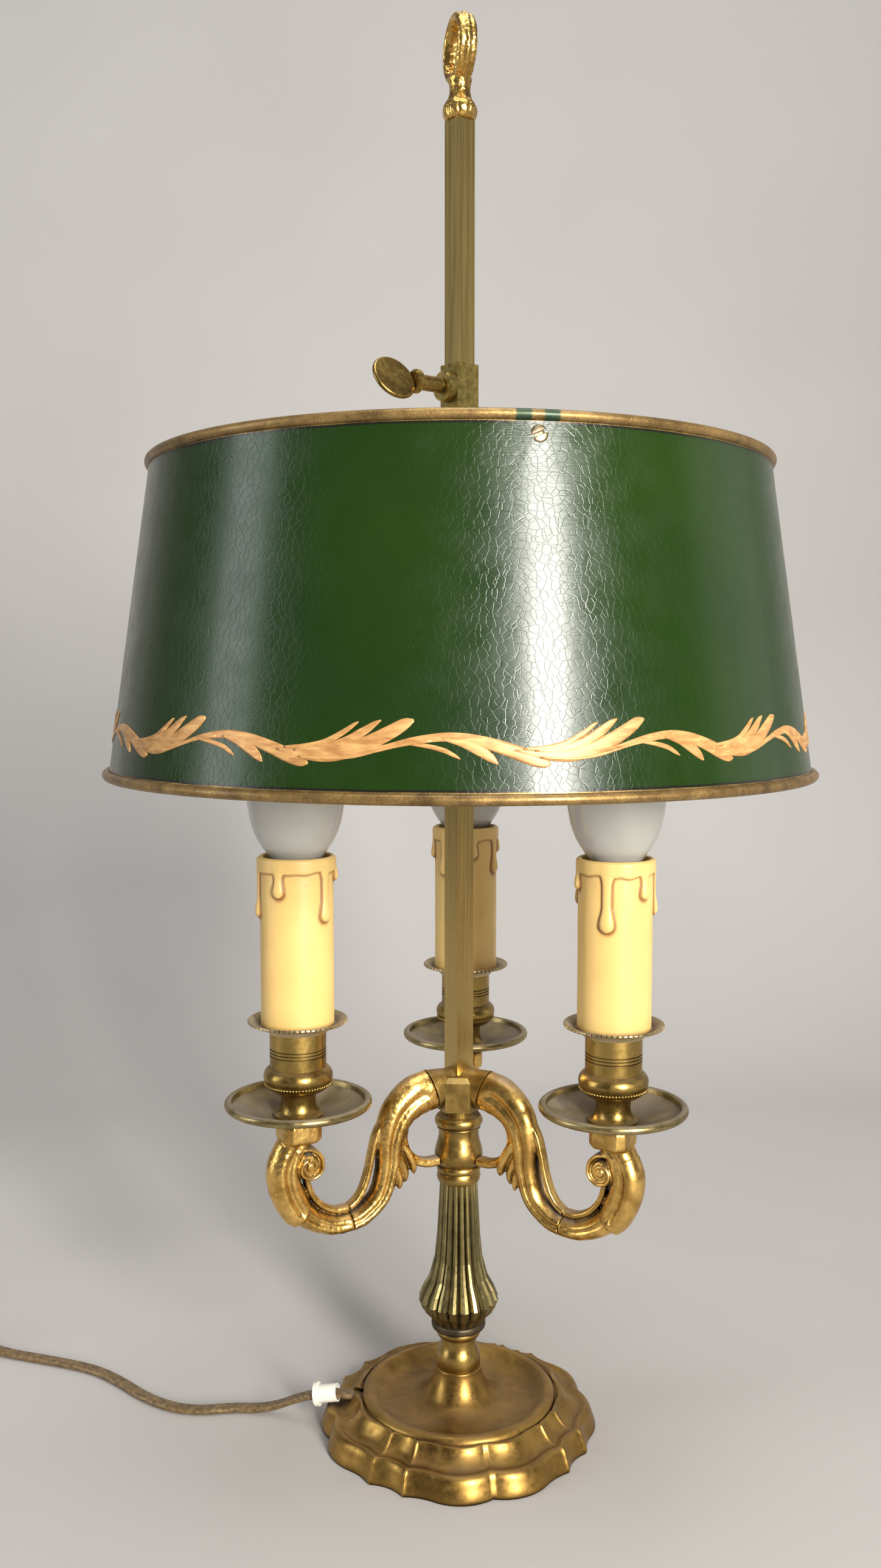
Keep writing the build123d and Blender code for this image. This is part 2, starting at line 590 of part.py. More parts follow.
with BuildPart() as bulb_cap:
    with BuildSketch(Plane.XY.offset(CAP_Z)):
        Circle(CAP_R - 2.6)
    extrude(amount=2.0)
    with BuildSketch(Plane.XY.offset(CAP_Z + 2.0)):
        Circle(CAP_R)
    extrude(amount=CAP_H - 2.0)
    with BuildSketch(Plane.XY.offset(CAP_Z + 6.0)):
        Circle(CAP_R - 0.8)
    extrude(amount=CAP_H, mode=Mode.SUBTRACT)

# Half outline of the glass: radius as a share of BULB_R, height as a share of BULB_H.
BULB_FORM = ((0.38, 0.0), (0.415, 0.06), (0.615, 0.14), (0.81, 0.22), (0.965, 0.37), (1.0, 0.47),
             (0.90, 0.66), (0.56, 0.855))
BULB_TIP_R = 4.0
BULB_TIP_FROM = 25.0     # angle above level where the round tip starts

with BuildPart() as bulb_glass:
    tip_z = CAP_TOP + BULB_H - BULB_TIP_R
    with BuildSketch(Plane.XZ):
        with BuildLine():
            for inset in (0, GLASS_T):
                start = polar(BULB_TIP_R - inset, BULB_TIP_FROM)
                Spline(*[(BULB_R * across - inset, CAP_TOP + BULB_H * up)
                         for across, up in BULB_FORM], (start[0], tip_z + start[1]))
                CenterArc((0, tip_z), BULB_TIP_R - inset, BULB_TIP_FROM, 90 - BULB_TIP_FROM)
            Line((0, CAP_TOP + BULB_H), (0, CAP_TOP + BULB_H - GLASS_T))
            Line((BULB_R * BULB_FORM[0][0], CAP_TOP),
                 (BULB_R * BULB_FORM[0][0] - GLASS_T, CAP_TOP))
        make_face()
    revolve(axis=Axis.Z)

for side, angle in ARM_ANGLES.items():
    spot = Pos(*polar(ARM_REACH, angle), 0) * Rot(0, 0, angle)
    save(spot * drip_pan.part, f"drip_pan_{side}")
    save(spot * candle_cup.part, f"candle_cup_{side}")
    save(spot * crown.part, f"crown_{side}")
    save(spot * candle_tube.part, f"candle_tube_{side}")
    save(spot * lampholder.part, f"lampholder_{side}")
    save(spot * nipple.part, f"nipple_{side}")
    save(spot * bulb_cap.part, f"bulb_cap_{side}")
    save(spot * bulb_glass.part, f"bulb_glass_{side}")

# ---- rod and finial --------------------------------------------------------------------

with BuildPart() as square_rod:
    with BuildSketch(Plane.XY.offset(ROD_Z)):
        Rectangle(ROD_SIDE, ROD_SIDE, rotation=ROD_TURN)
    extrude(amount=ROD_LENGTH)
    with BuildSketch(Plane.XY.offset(ROD_TOP_Z)):
        Circle(SPIGOT_R)
    extrude(amount=-SPIGOT_H - 1.0, mode=Mode.SUBTRACT)
save(square_rod.part, "square_rod")

NECK_Z = ROD_TOP_Z + KNOP_H
LOOP_Z = NECK_Z + FINIAL_NECK_H + LOOP_R + LOOP_DEPTH - 0.8

with BuildPart() as finial:
    with BuildSketch(Plane.XZ):
        with BuildLine():
            Polyline((0, ROD_TOP_Z - SPIGOT_H), (SPIGOT_R, ROD_TOP_Z - SPIGOT_H),
                     (SPIGOT_R, ROD_TOP_Z), (KNOP_R - 1.0, ROD_TOP_Z))
            ThreePointArc((KNOP_R - 1.0, ROD_TOP_Z), (KNOP_R, ROD_TOP_Z + KNOP_H * 0.5),
                          (KNOP_R - 1.6, NECK_Z))
            Line((KNOP_R - 1.6, NECK_Z), (FINIAL_NECK_R + 0.5, NECK_Z + 0.5))
            ThreePointArc((FINIAL_NECK_R + 0.5, NECK_Z + 0.5),
                          (FINIAL_NECK_R, NECK_Z + FINIAL_NECK_H * 0.4),
                          (FINIAL_NECK_R + 0.7, NECK_Z + FINIAL_NECK_H))
            Polyline((FINIAL_NECK_R + 0.7, NECK_Z + FINIAL_NECK_H), (0, NECK_Z + FINIAL_NECK_H),
                     (0, ROD_TOP_Z - SPIGOT_H))
        make_face()
    revolve(axis=Axis.Z)
    loop_plane = Plane(origin=(0, 0, LOOP_Z), x_dir=(*polar(1, LOOP_TURN + 90), 0),
                       z_dir=(*polar(1, LOOP_TURN), 0))
    section_plane = Plane(origin=(0, 0, LOOP_Z), x_dir=(*polar(1, LOOP_TURN + 90), 0),
                          z_dir=(0, 0, 1))
    with BuildSketch(section_plane):
        with Locations((LOOP_R, 0)):
            Ellipse(LOOP_DEPTH, LOOP_WIDTH)
    revolve(axis=Axis((0, 0, LOOP_Z), (*polar(1, LOOP_TURN), 0)))
save(finial.part, "finial")

# ---- shade -----------------------------------------------------------------------------

SLOPE = (SHADE_BOTTOM_R - 0.7 - SHADE_TOP_R) / (SHADE_TOP_Z - SHADE_BOTTOM_Z)
SLANT = math.degrees(math.atan(SLOPE))
WIRE_R = SHADE_BEAD_R - SHEET_T


def wall_r(height):
    """Outer radius of the shade's sheet at a height."""
    return SHADE_TOP_R + SLOPE * (SHADE_TOP_Z - height)


with BuildPart() as shade_shell:
    with BuildSketch(Plane.XZ):
        with BuildLine():
            Polyline((wall_r(SHADE_TOP_Z), SHADE_TOP_Z), (wall_r(SHADE_BOTTOM_Z), SHADE_BOTTOM_Z),
                     (wall_r(SHADE_BOTTOM_Z) - SHEET_T, SHADE_BOTTOM_Z),
                     (wall_r(SHADE_TOP_Z) - SHEET_T, SHADE_TOP_Z), close=True)
        make_face()
        with Locations((SHADE_TOP_R, SHADE_TOP_Z), (SHADE_BOTTOM_R, SHADE_BOTTOM_Z)):
            Circle(SHADE_BEAD_R)
            Circle(WIRE_R, mode=Mode.SUBTRACT)
    revolve(axis=Axis.Z)
    with BuildPart(mode=Mode.PRIVATE) as screw_hole:
        with BuildSketch(Plane(origin=(wall_r(SCREW_Z) + 3, 0, SCREW_Z + 3 * SLOPE),
                               z_dir=(-1, 0, -SLOPE))):
            Circle(SCREW_R + 0.1)
        extrude(amount=8.0)
    for angle in SPIDER_ANGLES:
        add(place(screw_hole.part, angle), mode=Mode.SUBTRACT)
save(shade_shell.part, "shade_shell")

with BuildPart() as rim_wires:
    with BuildSketch(Plane.XZ):
        with Locations((SHADE_TOP_R, SHADE_TOP_Z), (SHADE_BOTTOM_R, SHADE_BOTTOM_Z)):
            Circle(WIRE_R)
    revolve(axis=Axis.Z)
save(rim_wires.part, "rim_wires")

THUMB_AXIS = (*polar(1, THUMB_TURN), 0)

with BuildPart() as shade_sleeve:
    with BuildSketch(Plane.XY.offset(SLEEVE_TOP - SLEEVE_H)):
        Rectangle(SLEEVE_SIDE, SLEEVE_SIDE, rotation=ROD_TURN)
    extrude(amount=SLEEVE_H)
    with BuildSketch(Plane(origin=(*polar(SLEEVE_SIDE / 2 - 0.5, THUMB_TURN), THUMB_Z),
                           z_dir=THUMB_AXIS)):
        Circle(BOSS_R)
    extrude(amount=BOSS_H + 0.5)
    chamfer(shade_sleeve.edges().filter_by(GeomType.CIRCLE).sort_by(
        Axis((0, 0, THUMB_Z), THUMB_AXIS))[-1], 0.7)
    with BuildSketch(Plane.XY.offset(SLEEVE_TOP - SLEEVE_H)):
        Rectangle(ROD_SIDE + 2 * SLEEVE_GAP, ROD_SIDE + 2 * SLEEVE_GAP, rotation=ROD_TURN)
    extrude(amount=SLEEVE_H, mode=Mode.SUBTRACT)
    with BuildSketch(Plane(origin=(0, 0, THUMB_Z), z_dir=THUMB_AXIS)):
        Circle(THREAD_R + THREAD_FIT)
    extrude(amount=SLEEVE_SIDE + BOSS_H, mode=Mode.SUBTRACT)
save(shade_sleeve.part, "shade_sleeve")

TAB_TOP = SPIDER_Z + TAB_H

with BuildPart() as shade_spider:
    with BuildSketch(Plane.XY.offset(SPIDER_Z)):
        Circle(SLEEVE_SIDE)
    extrude(amount=SPIDER_T)
    with BuildPart(mode=Mode.PRIVATE) as leg:
        with BuildSketch(Plane.XZ.offset(SPIDER_W / 2)) as leg_profile:
            with BuildLine():
                Polyline((SLEEVE_SIDE - 1, SPIDER_Z),
                         (wall_r(SPIDER_Z), SPIDER_Z),
                         (wall_r(TAB_TOP), TAB_TOP),
                         (wall_r(TAB_TOP) - SHEET_T - SPIDER_T, TAB_TOP),
                         (wall_r(SPIDER_Z + SPIDER_T) - SHEET_T - SPIDER_T, SPIDER_Z + SPIDER_T),
                         (SLEEVE_SIDE - 1, SPIDER_Z + SPIDER_T), close=True)
            make_face()
        extrude(amount=-SPIDER_W)
        with BuildSketch(Plane(origin=(wall_r(SCREW_Z) + 3, 0, SCREW_Z + 3 * SLOPE),
                               z_dir=(-1, 0, -SLOPE))):
            Circle(SCREW_R + 0.1)
        extrude(amount=12.0, mode=Mode.SUBTRACT)
    for angle in SPIDER_ANGLES:
        add(place(leg.part, angle))
    # the tabs follow the inside of the sheet
    with BuildSketch(Plane.XZ):
        with BuildLine():
            Polyline((0, SPIDER_Z - 1), (wall_r(SPIDER_Z - 1) - SHEET_T - TAB_FIT, SPIDER_Z - 1),
                     (wall_r(TAB_TOP + 1) - SHEET_T - TAB_FIT, TAB_TOP + 1), (0, TAB_TOP + 1),
                     close=True)
        make_face()
    revolve(axis=Axis.Z, mode=Mode.INTERSECT)
    with BuildSketch(Plane.XY.offset(SPIDER_Z)):
        Rectangle(SLEEVE_SIDE, SLEEVE_SIDE, rotation=ROD_TURN)
    extrude(amount=SPIDER_T, mode=Mode.SUBTRACT)
save(shade_spider.part, "shade_spider")

SCREW_SEAT = (SHEET_T + SPIDER_T) * math.cos(math.radians(SLANT))   # along the screw

with BuildPart() as shade_screws:
    with BuildPart(mode=Mode.PRIVATE) as one_screw:
        seat = Plane(origin=(wall_r(SCREW_Z), 0, SCREW_Z), z_dir=(1, 0, SLOPE))
        with BuildSketch(seat):
            Circle(SCREW_HEAD_R)
        extrude(amount=SCREW_HEAD_H)
        with BuildSketch(seat.offset(SCREW_HEAD_H)):
            Rectangle(2 * SCREW_HEAD_R, 0.8, rotation=65)
        extrude(amount=-0.7, mode=Mode.SUBTRACT)
        with BuildSketch(seat):
            Circle(SCREW_R)
        extrude(amount=-SCREW_SEAT - NUT_H - 0.9)
    for angle in SPIDER_ANGLES:
        add(place(one_screw.part, angle))
save(shade_screws.part, "shade_screws")

with BuildPart() as shade_nuts:
    with BuildPart(mode=Mode.PRIVATE) as one_nut:
        with BuildSketch(Plane(origin=(wall_r(SCREW_Z), 0, SCREW_Z),
                               z_dir=(1, 0, SLOPE)).offset(-SCREW_SEAT - NUT_H)):
            RegularPolygon(NUT_FLATS / 2, 6, major_radius=False)
            Circle(SCREW_R, mode=Mode.SUBTRACT)
        extrude(amount=NUT_H)
    for angle in SPIDER_ANGLES:
        add(place(one_nut.part, angle))
save(shade_nuts.part, "shade_nuts")

TIP = ROD_SIDE / 2 + 0.2
BOSS_END = SLEEVE_SIDE / 2 + BOSS_H
RING_AT = BOSS_END + 0.6 + SHANK_L
PADDLE_AT = RING_AT + THUMB_RING_W + PADDLE_R - 0.5
PADDLE_NORMAL = Vector(*polar(1, THUMB_TURN + 90), 0) * math.cos(math.radians(PADDLE_TILT)) \
    + Vector(0, 0, 1) * math.sin(math.radians(PADDLE_TILT))

with BuildPart() as thumb_screw:
    along = Plane(origin=(0, 0, THUMB_Z), z_dir=THUMB_AXIS)
    with BuildSketch(along.offset(TIP)):
        Circle(THREAD_R)
    extrude(amount=BOSS_END + 0.6 - TIP)
    with BuildSketch(along.offset(BOSS_END + 0.6)):
        Circle(SHANK_R)
    extrude(amount=SHANK_L)
    with BuildSketch(along.offset(RING_AT)):
        Circle(THUMB_RING_R)
    extrude(amount=THUMB_RING_W)
    chamfer(thumb_screw.edges().filter_by(GeomType.CIRCLE).group_by(SortBy.RADIUS)[-1], 0.9)
    middle = Vector(*polar(PADDLE_AT, THUMB_TURN), THUMB_Z)
    with BuildSketch(Plane(origin=middle, x_dir=THUMB_AXIS,
                           z_dir=Vector(*THUMB_AXIS).cross(PADDLE_NORMAL))):
        with BuildLine():
            Polyline((PADDLE_R - 0.7, -PADDLE_T * 0.38), (0, -PADDLE_T / 2), (0, PADDLE_T / 2),
                     (PADDLE_R - 0.7, PADDLE_T * 0.38))
            ThreePointArc((PADDLE_R - 0.7, PADDLE_T * 0.38), (PADDLE_R, 0),
                          (PADDLE_R - 0.7, -PADDLE_T * 0.38))
        make_face()
    revolve(axis=Axis(middle, PADDLE_NORMAL))
save(thumb_screw.part, "thumb_screw")

# ---- cord ------------------------------------------------------------------------------

LIE = CORD_R + 0.1       # height of a cord that lies on the table
SWITCH_AT = SWITCH_H / 2
SWITCH_IN = SWITCH_CENTRE[0] + SWITCH_L / 2
SWITCH_OUT = SWITCH_CENTRE[0] - SWITCH_L / 2
COIL_R = COIL_TURN_R + CORD_R * COIL_TURNS
COIL_INNER_R = COIL_TURN_R - CORD_R * COIL_TURNS
COIL_H = FLEX_T * COIL_TURNS
BESIDE = COIL_R + CORD_R + 0.1
PLUG_X = COIL_CENTRE[0] - BESIDE + 2.5
PLUG_FACE = PLUG_BACK - RELIEF_L - PLUG_L

LEAD = (CORD_INSIDE, CORD_OVER, (-61.85, 2.2, 10.8), (-77.0, 7.6, LIE),
        (-92.0, 9.2, LIE), (-104.0, 7.0, LIE), (-116.0, 8.6, LIE), (-130.0, 17.0, LIE),
        (-143.0, 29.5, LIE), (-157.0, 40.0, LIE), (-178.0, 47.3, LIE), (-200.0, 54.0, LIE),
        (SWITCH_IN + 13, SWITCH_CENTRE[1] - 2.4, LIE + 1.5),
        (SWITCH_IN + 2.5, SWITCH_CENTRE[1] - 0.2, SWITCH_AT),
        (SWITCH_IN - 9, SWITCH_CENTRE[1], SWITCH_AT))
TAIL = ((SWITCH_OUT + 9, SWITCH_CENTRE[1], SWITCH_AT),
        (SWITCH_OUT - 2.5, SWITCH_CENTRE[1] + 0.1, SWITCH_AT),
        (SWITCH_OUT - 13, SWITCH_CENTRE[1] + 0.4, LIE + 1.4),
        (SWITCH_OUT - 25, SWITCH_CENTRE[1] + 0.7, LIE),
        (SWITCH_OUT - 38, COIL_CENTRE[1] + BESIDE + 0.1, LIE),
        (COIL_CENTRE[0], COIL_CENTRE[1] + BESIDE, LIE))
END = ((COIL_CENTRE[0] - BESIDE, COIL_CENTRE[1], LIE),
       (COIL_CENTRE[0] - BESIDE + 0.3, COIL_CENTRE[1] - 10, LIE),
       (COIL_CENTRE[0] - BESIDE + 1.4, COIL_CENTRE[1] - 20, LIE + 1.6),
       (PLUG_X - 0.1, PLUG_BACK + 1, PLUG_T / 2),
       (PLUG_X, PLUG_BACK - 8, PLUG_T / 2))


def bend_radii(points, name):
    """A radius for each corner that takes 45 % of the shorter run beside it."""
    radii = []
    for before, corner, after in zip(points, points[1:], points[2:]):
        one, two = Vector(*corner) - Vector(*before), Vector(*after) - Vector(*corner)
        turn = one.get_angle(two)
        reach = 0.45 * min(one.length, two.length)
        radii.append(round(reach / math.tan(math.radians(turn / 2)), 2))
    print(name, "radii", radii)
    return radii


def flex(points, name):
    """A round flex along the points, with an arc at every corner."""
    with BuildPart() as cord:
        with BuildLine() as route:
            FilletPolyline(*points, radius=bend_radii(points, name))
        line = route.wires()[0]
        with BuildSketch(Plane(origin=line @ 0, z_dir=line % 0)) as face:
            Circle(CORD_R)
        sweep(sections=face.sketch, path=line)
    print(name, "length", round(line.length, 1), "volume", round(cord.part.volume, 1),
          "expected", round(math.pi * CORD_R ** 2 * line.length, 1))
    save(cord.part, name)


flex(LEAD, "cord_lead")
flex(TAIL, "cord_tail")
flex(END, "cord_end")

with BuildPart() as cord_coil:
    with BuildSketch(Plane.XZ.offset(-COIL_CENTRE[1])):
        with Locations((COIL_CENTRE[0] + COIL_TURN_R, 0.05 + COIL_H / 2)):
            RectangleRounded(COIL_R - COIL_INNER_R, COIL_H, CORD_R)
    revolve(axis=Axis((*COIL_CENTRE, 0), (0, 0, 1)))
save(cord_coil.part, "cord_coil")

BUSH_IN, BUSH_DIR = Vector(*LEAD[1]), (Vector(*LEAD[2]) - Vector(*LEAD[1])).normalized()
bush_plane = Plane(origin=BUSH_IN + BUSH_DIR * 3.3, z_dir=BUSH_DIR)

with BuildPart() as cord_bush:
    with BuildSketch(bush_plane):
        Circle(BUSH_R)
    extrude(amount=BUSH_L)
    with BuildSketch(bush_plane.offset(BUSH_L - 1.6)):
        Circle(BUSH_FLANGE_R)
    extrude(amount=1.6)
    with BuildSketch(bush_plane):
        Circle(CORD_R + CORD_FIT)
    extrude(amount=BUSH_L, mode=Mode.SUBTRACT)
save(cord_bush.part, "cord_bush")

# ---- inline switch ---------------------------------------------------------------------

switch_spot = Pos(*SWITCH_CENTRE, 0)
SPLIT = SWITCH_H / 2
PIVOT_Z = SWITCH_H - 3.6

with BuildPart() as switch_base:
    with BuildSketch():
        RectangleRounded(SWITCH_L, SWITCH_W, SWITCH_W * 0.3)
    extrude(amount=SPLIT)
    chamfer(switch_base.faces().sort_by(Axis.Z)[0].edges(), 1.2)
    with BuildSketch(Plane.XY.offset(SWITCH_WALL)):
        RectangleRounded(SWITCH_L - 2 * SWITCH_WALL, SWITCH_W - 2 * SWITCH_WALL, SWITCH_W * 0.2)
    extrude(amount=SPLIT, mode=Mode.SUBTRACT)
    with BuildSketch(Plane.YZ.offset(-SWITCH_L / 2 - 1)):
        with Locations((0, SWITCH_AT)):
            Circle(CORD_R + CORD_FIT)
    extrude(amount=SWITCH_L + 2, mode=Mode.SUBTRACT)
save(switch_spot * switch_base.part, "switch_base")

with BuildPart() as switch_cover:
    with BuildSketch(Plane.XY.offset(SPLIT)):
        RectangleRounded(SWITCH_L, SWITCH_W, SWITCH_W * 0.3)
    extrude(amount=SWITCH_H - SPLIT)
    chamfer(switch_cover.faces().sort_by(Axis.Z)[-1].edges(), 2.4)
    with BuildSketch(Plane.XY.offset(SPLIT)):
        RectangleRounded(SWITCH_L - 2 * SWITCH_WALL, SWITCH_W - 2 * SWITCH_WALL, SWITCH_W * 0.2)
    extrude(amount=SWITCH_H - SPLIT - 2.6, mode=Mode.SUBTRACT)
    # cheeks that carry the rocker's pin
    with BuildSketch(Plane.XY.offset(SPLIT + 1.5)):
        with Locations((0, ROCKER_W / 2 + 1.3), (0, -ROCKER_W / 2 - 1.3)):
            Rectangle(7.0, 2.0)
    extrude(amount=SWITCH_H - SPLIT - 2.5)
    with BuildSketch(Plane.XY.offset(SPLIT)):
        Rectangle(ROCKER_L + 1.4, ROCKER_W + 0.6)
    extrude(amount=SWITCH_H, mode=Mode.SUBTRACT)
    with BuildSketch(Plane.YZ.offset(-SWITCH_L / 2 - 1)):
        with Locations((0, SWITCH_AT)):
            Circle(CORD_R + CORD_FIT)
    extrude(amount=SWITCH_L + 2, mode=Mode.SUBTRACT)
    with BuildSketch(Plane.XZ.offset(-ROCKER_W / 2 - 2.3)):
        with Locations((0, PIVOT_Z)):
            Circle(ROCKER_PIN_R + 0.05)
    extrude(amount=ROCKER_W + 4.6, mode=Mode.SUBTRACT)
save(switch_spot * switch_cover.part, "switch_cover")

with BuildPart() as switch_rocker:
    with BuildSketch(Plane.XZ.offset(ROCKER_W / 2)):
        with BuildLine():
            half = ROCKER_L / 2
            Line((-half + 1.2, PIVOT_Z - 2.2), (half - 1.2, PIVOT_Z - 2.2))
            Line((half - 1.2, PIVOT_Z - 2.2), (half, PIVOT_Z + 4.6))
            ThreePointArc((half, PIVOT_Z + 4.6), (0, PIVOT_Z + 3.6), (-half, PIVOT_Z + 4.6))
            Line((-half, PIVOT_Z + 4.6), (-half + 1.2, PIVOT_Z - 2.2))
        make_face()
    extrude(amount=-ROCKER_W)
    with BuildSketch(Plane.XZ.offset(ROCKER_W / 2 + 2.2)):
        with Locations((0, PIVOT_Z)):
            Circle(ROCKER_PIN_R)
    extrude(amount=-ROCKER_W - 4.4)
save(switch_spot * switch_rocker.part, "switch_rocker")

# ---- plug ------------------------------------------------------------------------------

with BuildPart() as plug_body:
    # outline that narrows towards the cord
    for back, width, height in ((0, PLUG_W, PLUG_T), (PLUG_L * 0.45, PLUG_W, PLUG_T),
                                (PLUG_L, PLUG_W * 0.42, PLUG_T * 0.86)):
        with BuildSketch(Plane(origin=(PLUG_X, PLUG_FACE + back, PLUG_T / 2),
                               x_dir=(1, 0, 0), z_dir=(0, 1, 0))):
            RectangleRounded(width, height, PLUG_T * 0.34)
    loft(ruled=True)
    relief = Plane(origin=(PLUG_X, PLUG_FACE + PLUG_L, PLUG_T / 2), z_dir=(0, 1, 0))
    with BuildSketch(relief):
        Circle(5.2)
    with BuildSketch(relief.offset(RELIEF_L)):
        Circle(3.9)
    loft()
    with BuildSketch(relief.offset(RELIEF_L)):
        Circle(CORD_R + CORD_FIT)
    extrude(amount=-RELIEF_L, mode=Mode.SUBTRACT)
    with BuildSketch(Plane(origin=(PLUG_X, PLUG_FACE, PLUG_T / 2), x_dir=(1, 0, 0),
                           z_dir=(0, 1, 0))):
        with Locations((-PIN_SPACING / 2, 0), (PIN_SPACING / 2, 0)):
            Circle(PIN_TANG_R)
    extrude(amount=PIN_TANG_L, mode=Mode.SUBTRACT)
save(plug_body.part, "plug_body")

with BuildPart() as plug_pins:
    pin_face = Plane(origin=(PLUG_X, PLUG_FACE, PLUG_T / 2), x_dir=(1, 0, 0),
                     z_dir=(0, -1, 0))
    with BuildSketch(pin_face):
        with Locations((-PIN_SPACING / 2, 0), (PIN_SPACING / 2, 0)):
            Circle(PIN_TANG_R)
    extrude(amount=-PIN_TANG_L)
    with BuildSketch(pin_face):
        with Locations((-PIN_SPACING / 2, 0), (PIN_SPACING / 2, 0)):
            Circle(PIN_R)
    extrude(amount=PIN_L)
    chamfer(plug_pins.edges().filter_by(GeomType.CIRCLE).group_by(Axis.Y)[0], 0.7)
save(plug_pins.part, "plug_pins")
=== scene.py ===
import json
import math

import bmesh
import bpy
from mathutils import Matrix, Vector, noise


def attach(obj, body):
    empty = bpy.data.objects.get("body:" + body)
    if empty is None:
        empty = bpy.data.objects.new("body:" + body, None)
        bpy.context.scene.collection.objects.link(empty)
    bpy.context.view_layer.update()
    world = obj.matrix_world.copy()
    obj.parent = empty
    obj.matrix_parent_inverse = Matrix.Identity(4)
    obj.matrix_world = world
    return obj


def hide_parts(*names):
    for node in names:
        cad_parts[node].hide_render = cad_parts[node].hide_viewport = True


# Bouillotte lamp: finish, painted border, wax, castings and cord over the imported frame.
# Metres, +Z up, the lamp's axis on Z, the viewer towards -Y.

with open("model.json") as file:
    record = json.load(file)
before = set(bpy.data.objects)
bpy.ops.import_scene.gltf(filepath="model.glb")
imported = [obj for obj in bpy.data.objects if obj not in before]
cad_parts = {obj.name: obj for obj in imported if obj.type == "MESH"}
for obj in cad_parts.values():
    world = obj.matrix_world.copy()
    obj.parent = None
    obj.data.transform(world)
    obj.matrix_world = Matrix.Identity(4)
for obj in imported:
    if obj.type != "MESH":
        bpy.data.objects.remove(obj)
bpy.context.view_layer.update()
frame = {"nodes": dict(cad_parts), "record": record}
scene = bpy.context.scene
MM = 0.001

# ---- camera ----------------------------------------------------------------------------

IMAGE_H = 2576          # pixels down the picture
FOCAL_PX = 2219.0
CAMERA_AT = Vector((-0.0072, -0.5214, 0.3005))
CAMERA_PITCH = 4.62      # degrees below level

camera_data = bpy.data.cameras.new("camera")
camera_data.sensor_fit = "VERTICAL"
camera_data.sensor_height = 36.0
camera_data.lens = FOCAL_PX / IMAGE_H * camera_data.sensor_height
camera_data.clip_start = 0.01
camera = bpy.data.objects.new("camera", camera_data)
camera.location = CAMERA_AT
camera.rotation_euler = (math.radians(90 - CAMERA_PITCH), 0, 0)
scene.collection.objects.link(camera)
scene.camera = camera

scene.view_settings.view_transform = "Standard"

# ---- helpers ---------------------------------------------------------------------------

ARM_ANGLES = {"left": 206.7, "right": 326.7, "back": 86.7}
ARM_REACH = 0.0672


def polar(radius, degrees):
    return radius * math.cos(math.radians(degrees)), radius * math.sin(math.radians(degrees))


def smooth(t):
    t = max(0.0, min(1.0, t))
    return t * t * (3 - 2 * t)


def mix(a, b, t):
    return a + (b - a) * t


def along(table, t):
    """Smooth reading of a table of (place, value) at t: Catmull-Rom between the rows."""
    if t <= table[0][0]:
        return table[0][1]
    for i in range(len(table) - 1):
        if t <= table[i + 1][0]:
            (t1, v1), (t2, v2) = table[i], table[i + 1]
            t0, v0 = table[i - 1] if i else (2 * t1 - t2, 2 * v1 - v2)
            t3, v3 = table[i + 2] if i + 2 < len(table) else (2 * t2 - t1, 2 * v2 - v1)
            u, span = (t - t1) / (t2 - t1), t2 - t1
            m1, m2 = (v2 - v0) / (t2 - t0) * span, (v3 - v1) / (t3 - t1) * span
            u2, u3 = u * u, u * u * u
            return ((2 * u3 - 3 * u2 + 1) * v1 + (u3 - 2 * u2 + u) * m1
                    + (3 * u2 - 2 * u3) * v2 + (u3 - u2) * m2)
    return table[-1][1]


def path_points(points, count):
    """A count of points, evenly spread along a smooth line through the given ones."""
    rows = [list(enumerate(p[c] for p in points)) for c in range(len(points[0]))]
    return [tuple(along(row, (len(points) - 1) * j / (count - 1)) for row in rows)
            for j in range(count)]


def heading(spots, j):
    """Unit direction of a line of points at its point j."""
    a, b = spots[max(j - 1, 0)], spots[min(j + 1, len(spots) - 1)]
    x, z = b[0] - a[0], b[1] - a[1]
    size = math.hypot(x, z)
    return x / size, z / size


def linked(name, data):
    """A new object in the scene that holds the data."""
    obj = bpy.data.objects.new(name, data)
    scene.collection.objects.link(obj)
    return obj


def shaded_smooth(data):
    data.polygons.foreach_set("use_smooth", [True] * len(data.polygons))
    return data


def mesh_object(name, verts, faces):
    data = bpy.data.meshes.new(name)
    data.from_pydata([tuple(v) for v in verts], [], faces)
    data.update()
    return linked(name, shaded_smooth(data))


def applied(obj):
    """The object's mesh with its modifiers applied."""
    graph = bpy.context.evaluated_depsgraph_get()
    graph.update()
    return bpy.data.meshes.new_from_object(obj.evaluated_get(graph))


def add_shell(verts, faces, rings):
    """Adds a closed shell that runs through the rings of points."""
    first, n = len(verts), len(rings[0])
    for ring in rings:
        verts += ring
    for j in range(len(rings) - 1):
        for i in range(n):
            a, b = first + j * n + i, first + j * n + (i + 1) % n
            faces.append((a, a + n, b + n, b))
    faces.append(tuple(first + i for i in range(n)))
    faces.append(tuple(first + (len(rings) - 1) * n + i for i in reversed(range(n))))


def grid(name, rows, closed_u=True, closed_v=False):
    """A mesh from rows of points. closed_u joins a row's ends, closed_v the last row to the first."""
    across, down = len(rows[0]), len(rows)
    verts = [p for row in rows for p in row]
    faces = []
    for j in range(down if closed_v else down - 1):
        for i in range(across if closed_u else across - 1):
            a, b = j * across + i, j * across + (i + 1) % across
            k = (j + 1) % down
            faces.append((a, b, k * across + (i + 1) % across, k * across + i))
    return mesh_object(name, verts, faces)


def finish_piece(obj, body, material, replaced=()):
    obj.data.materials.clear()
    obj.data.materials.append(material)
    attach(obj, body)
    if replaced:
        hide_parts(*replaced)
    return obj


# ---- materials -------------------------------------------------------------------------


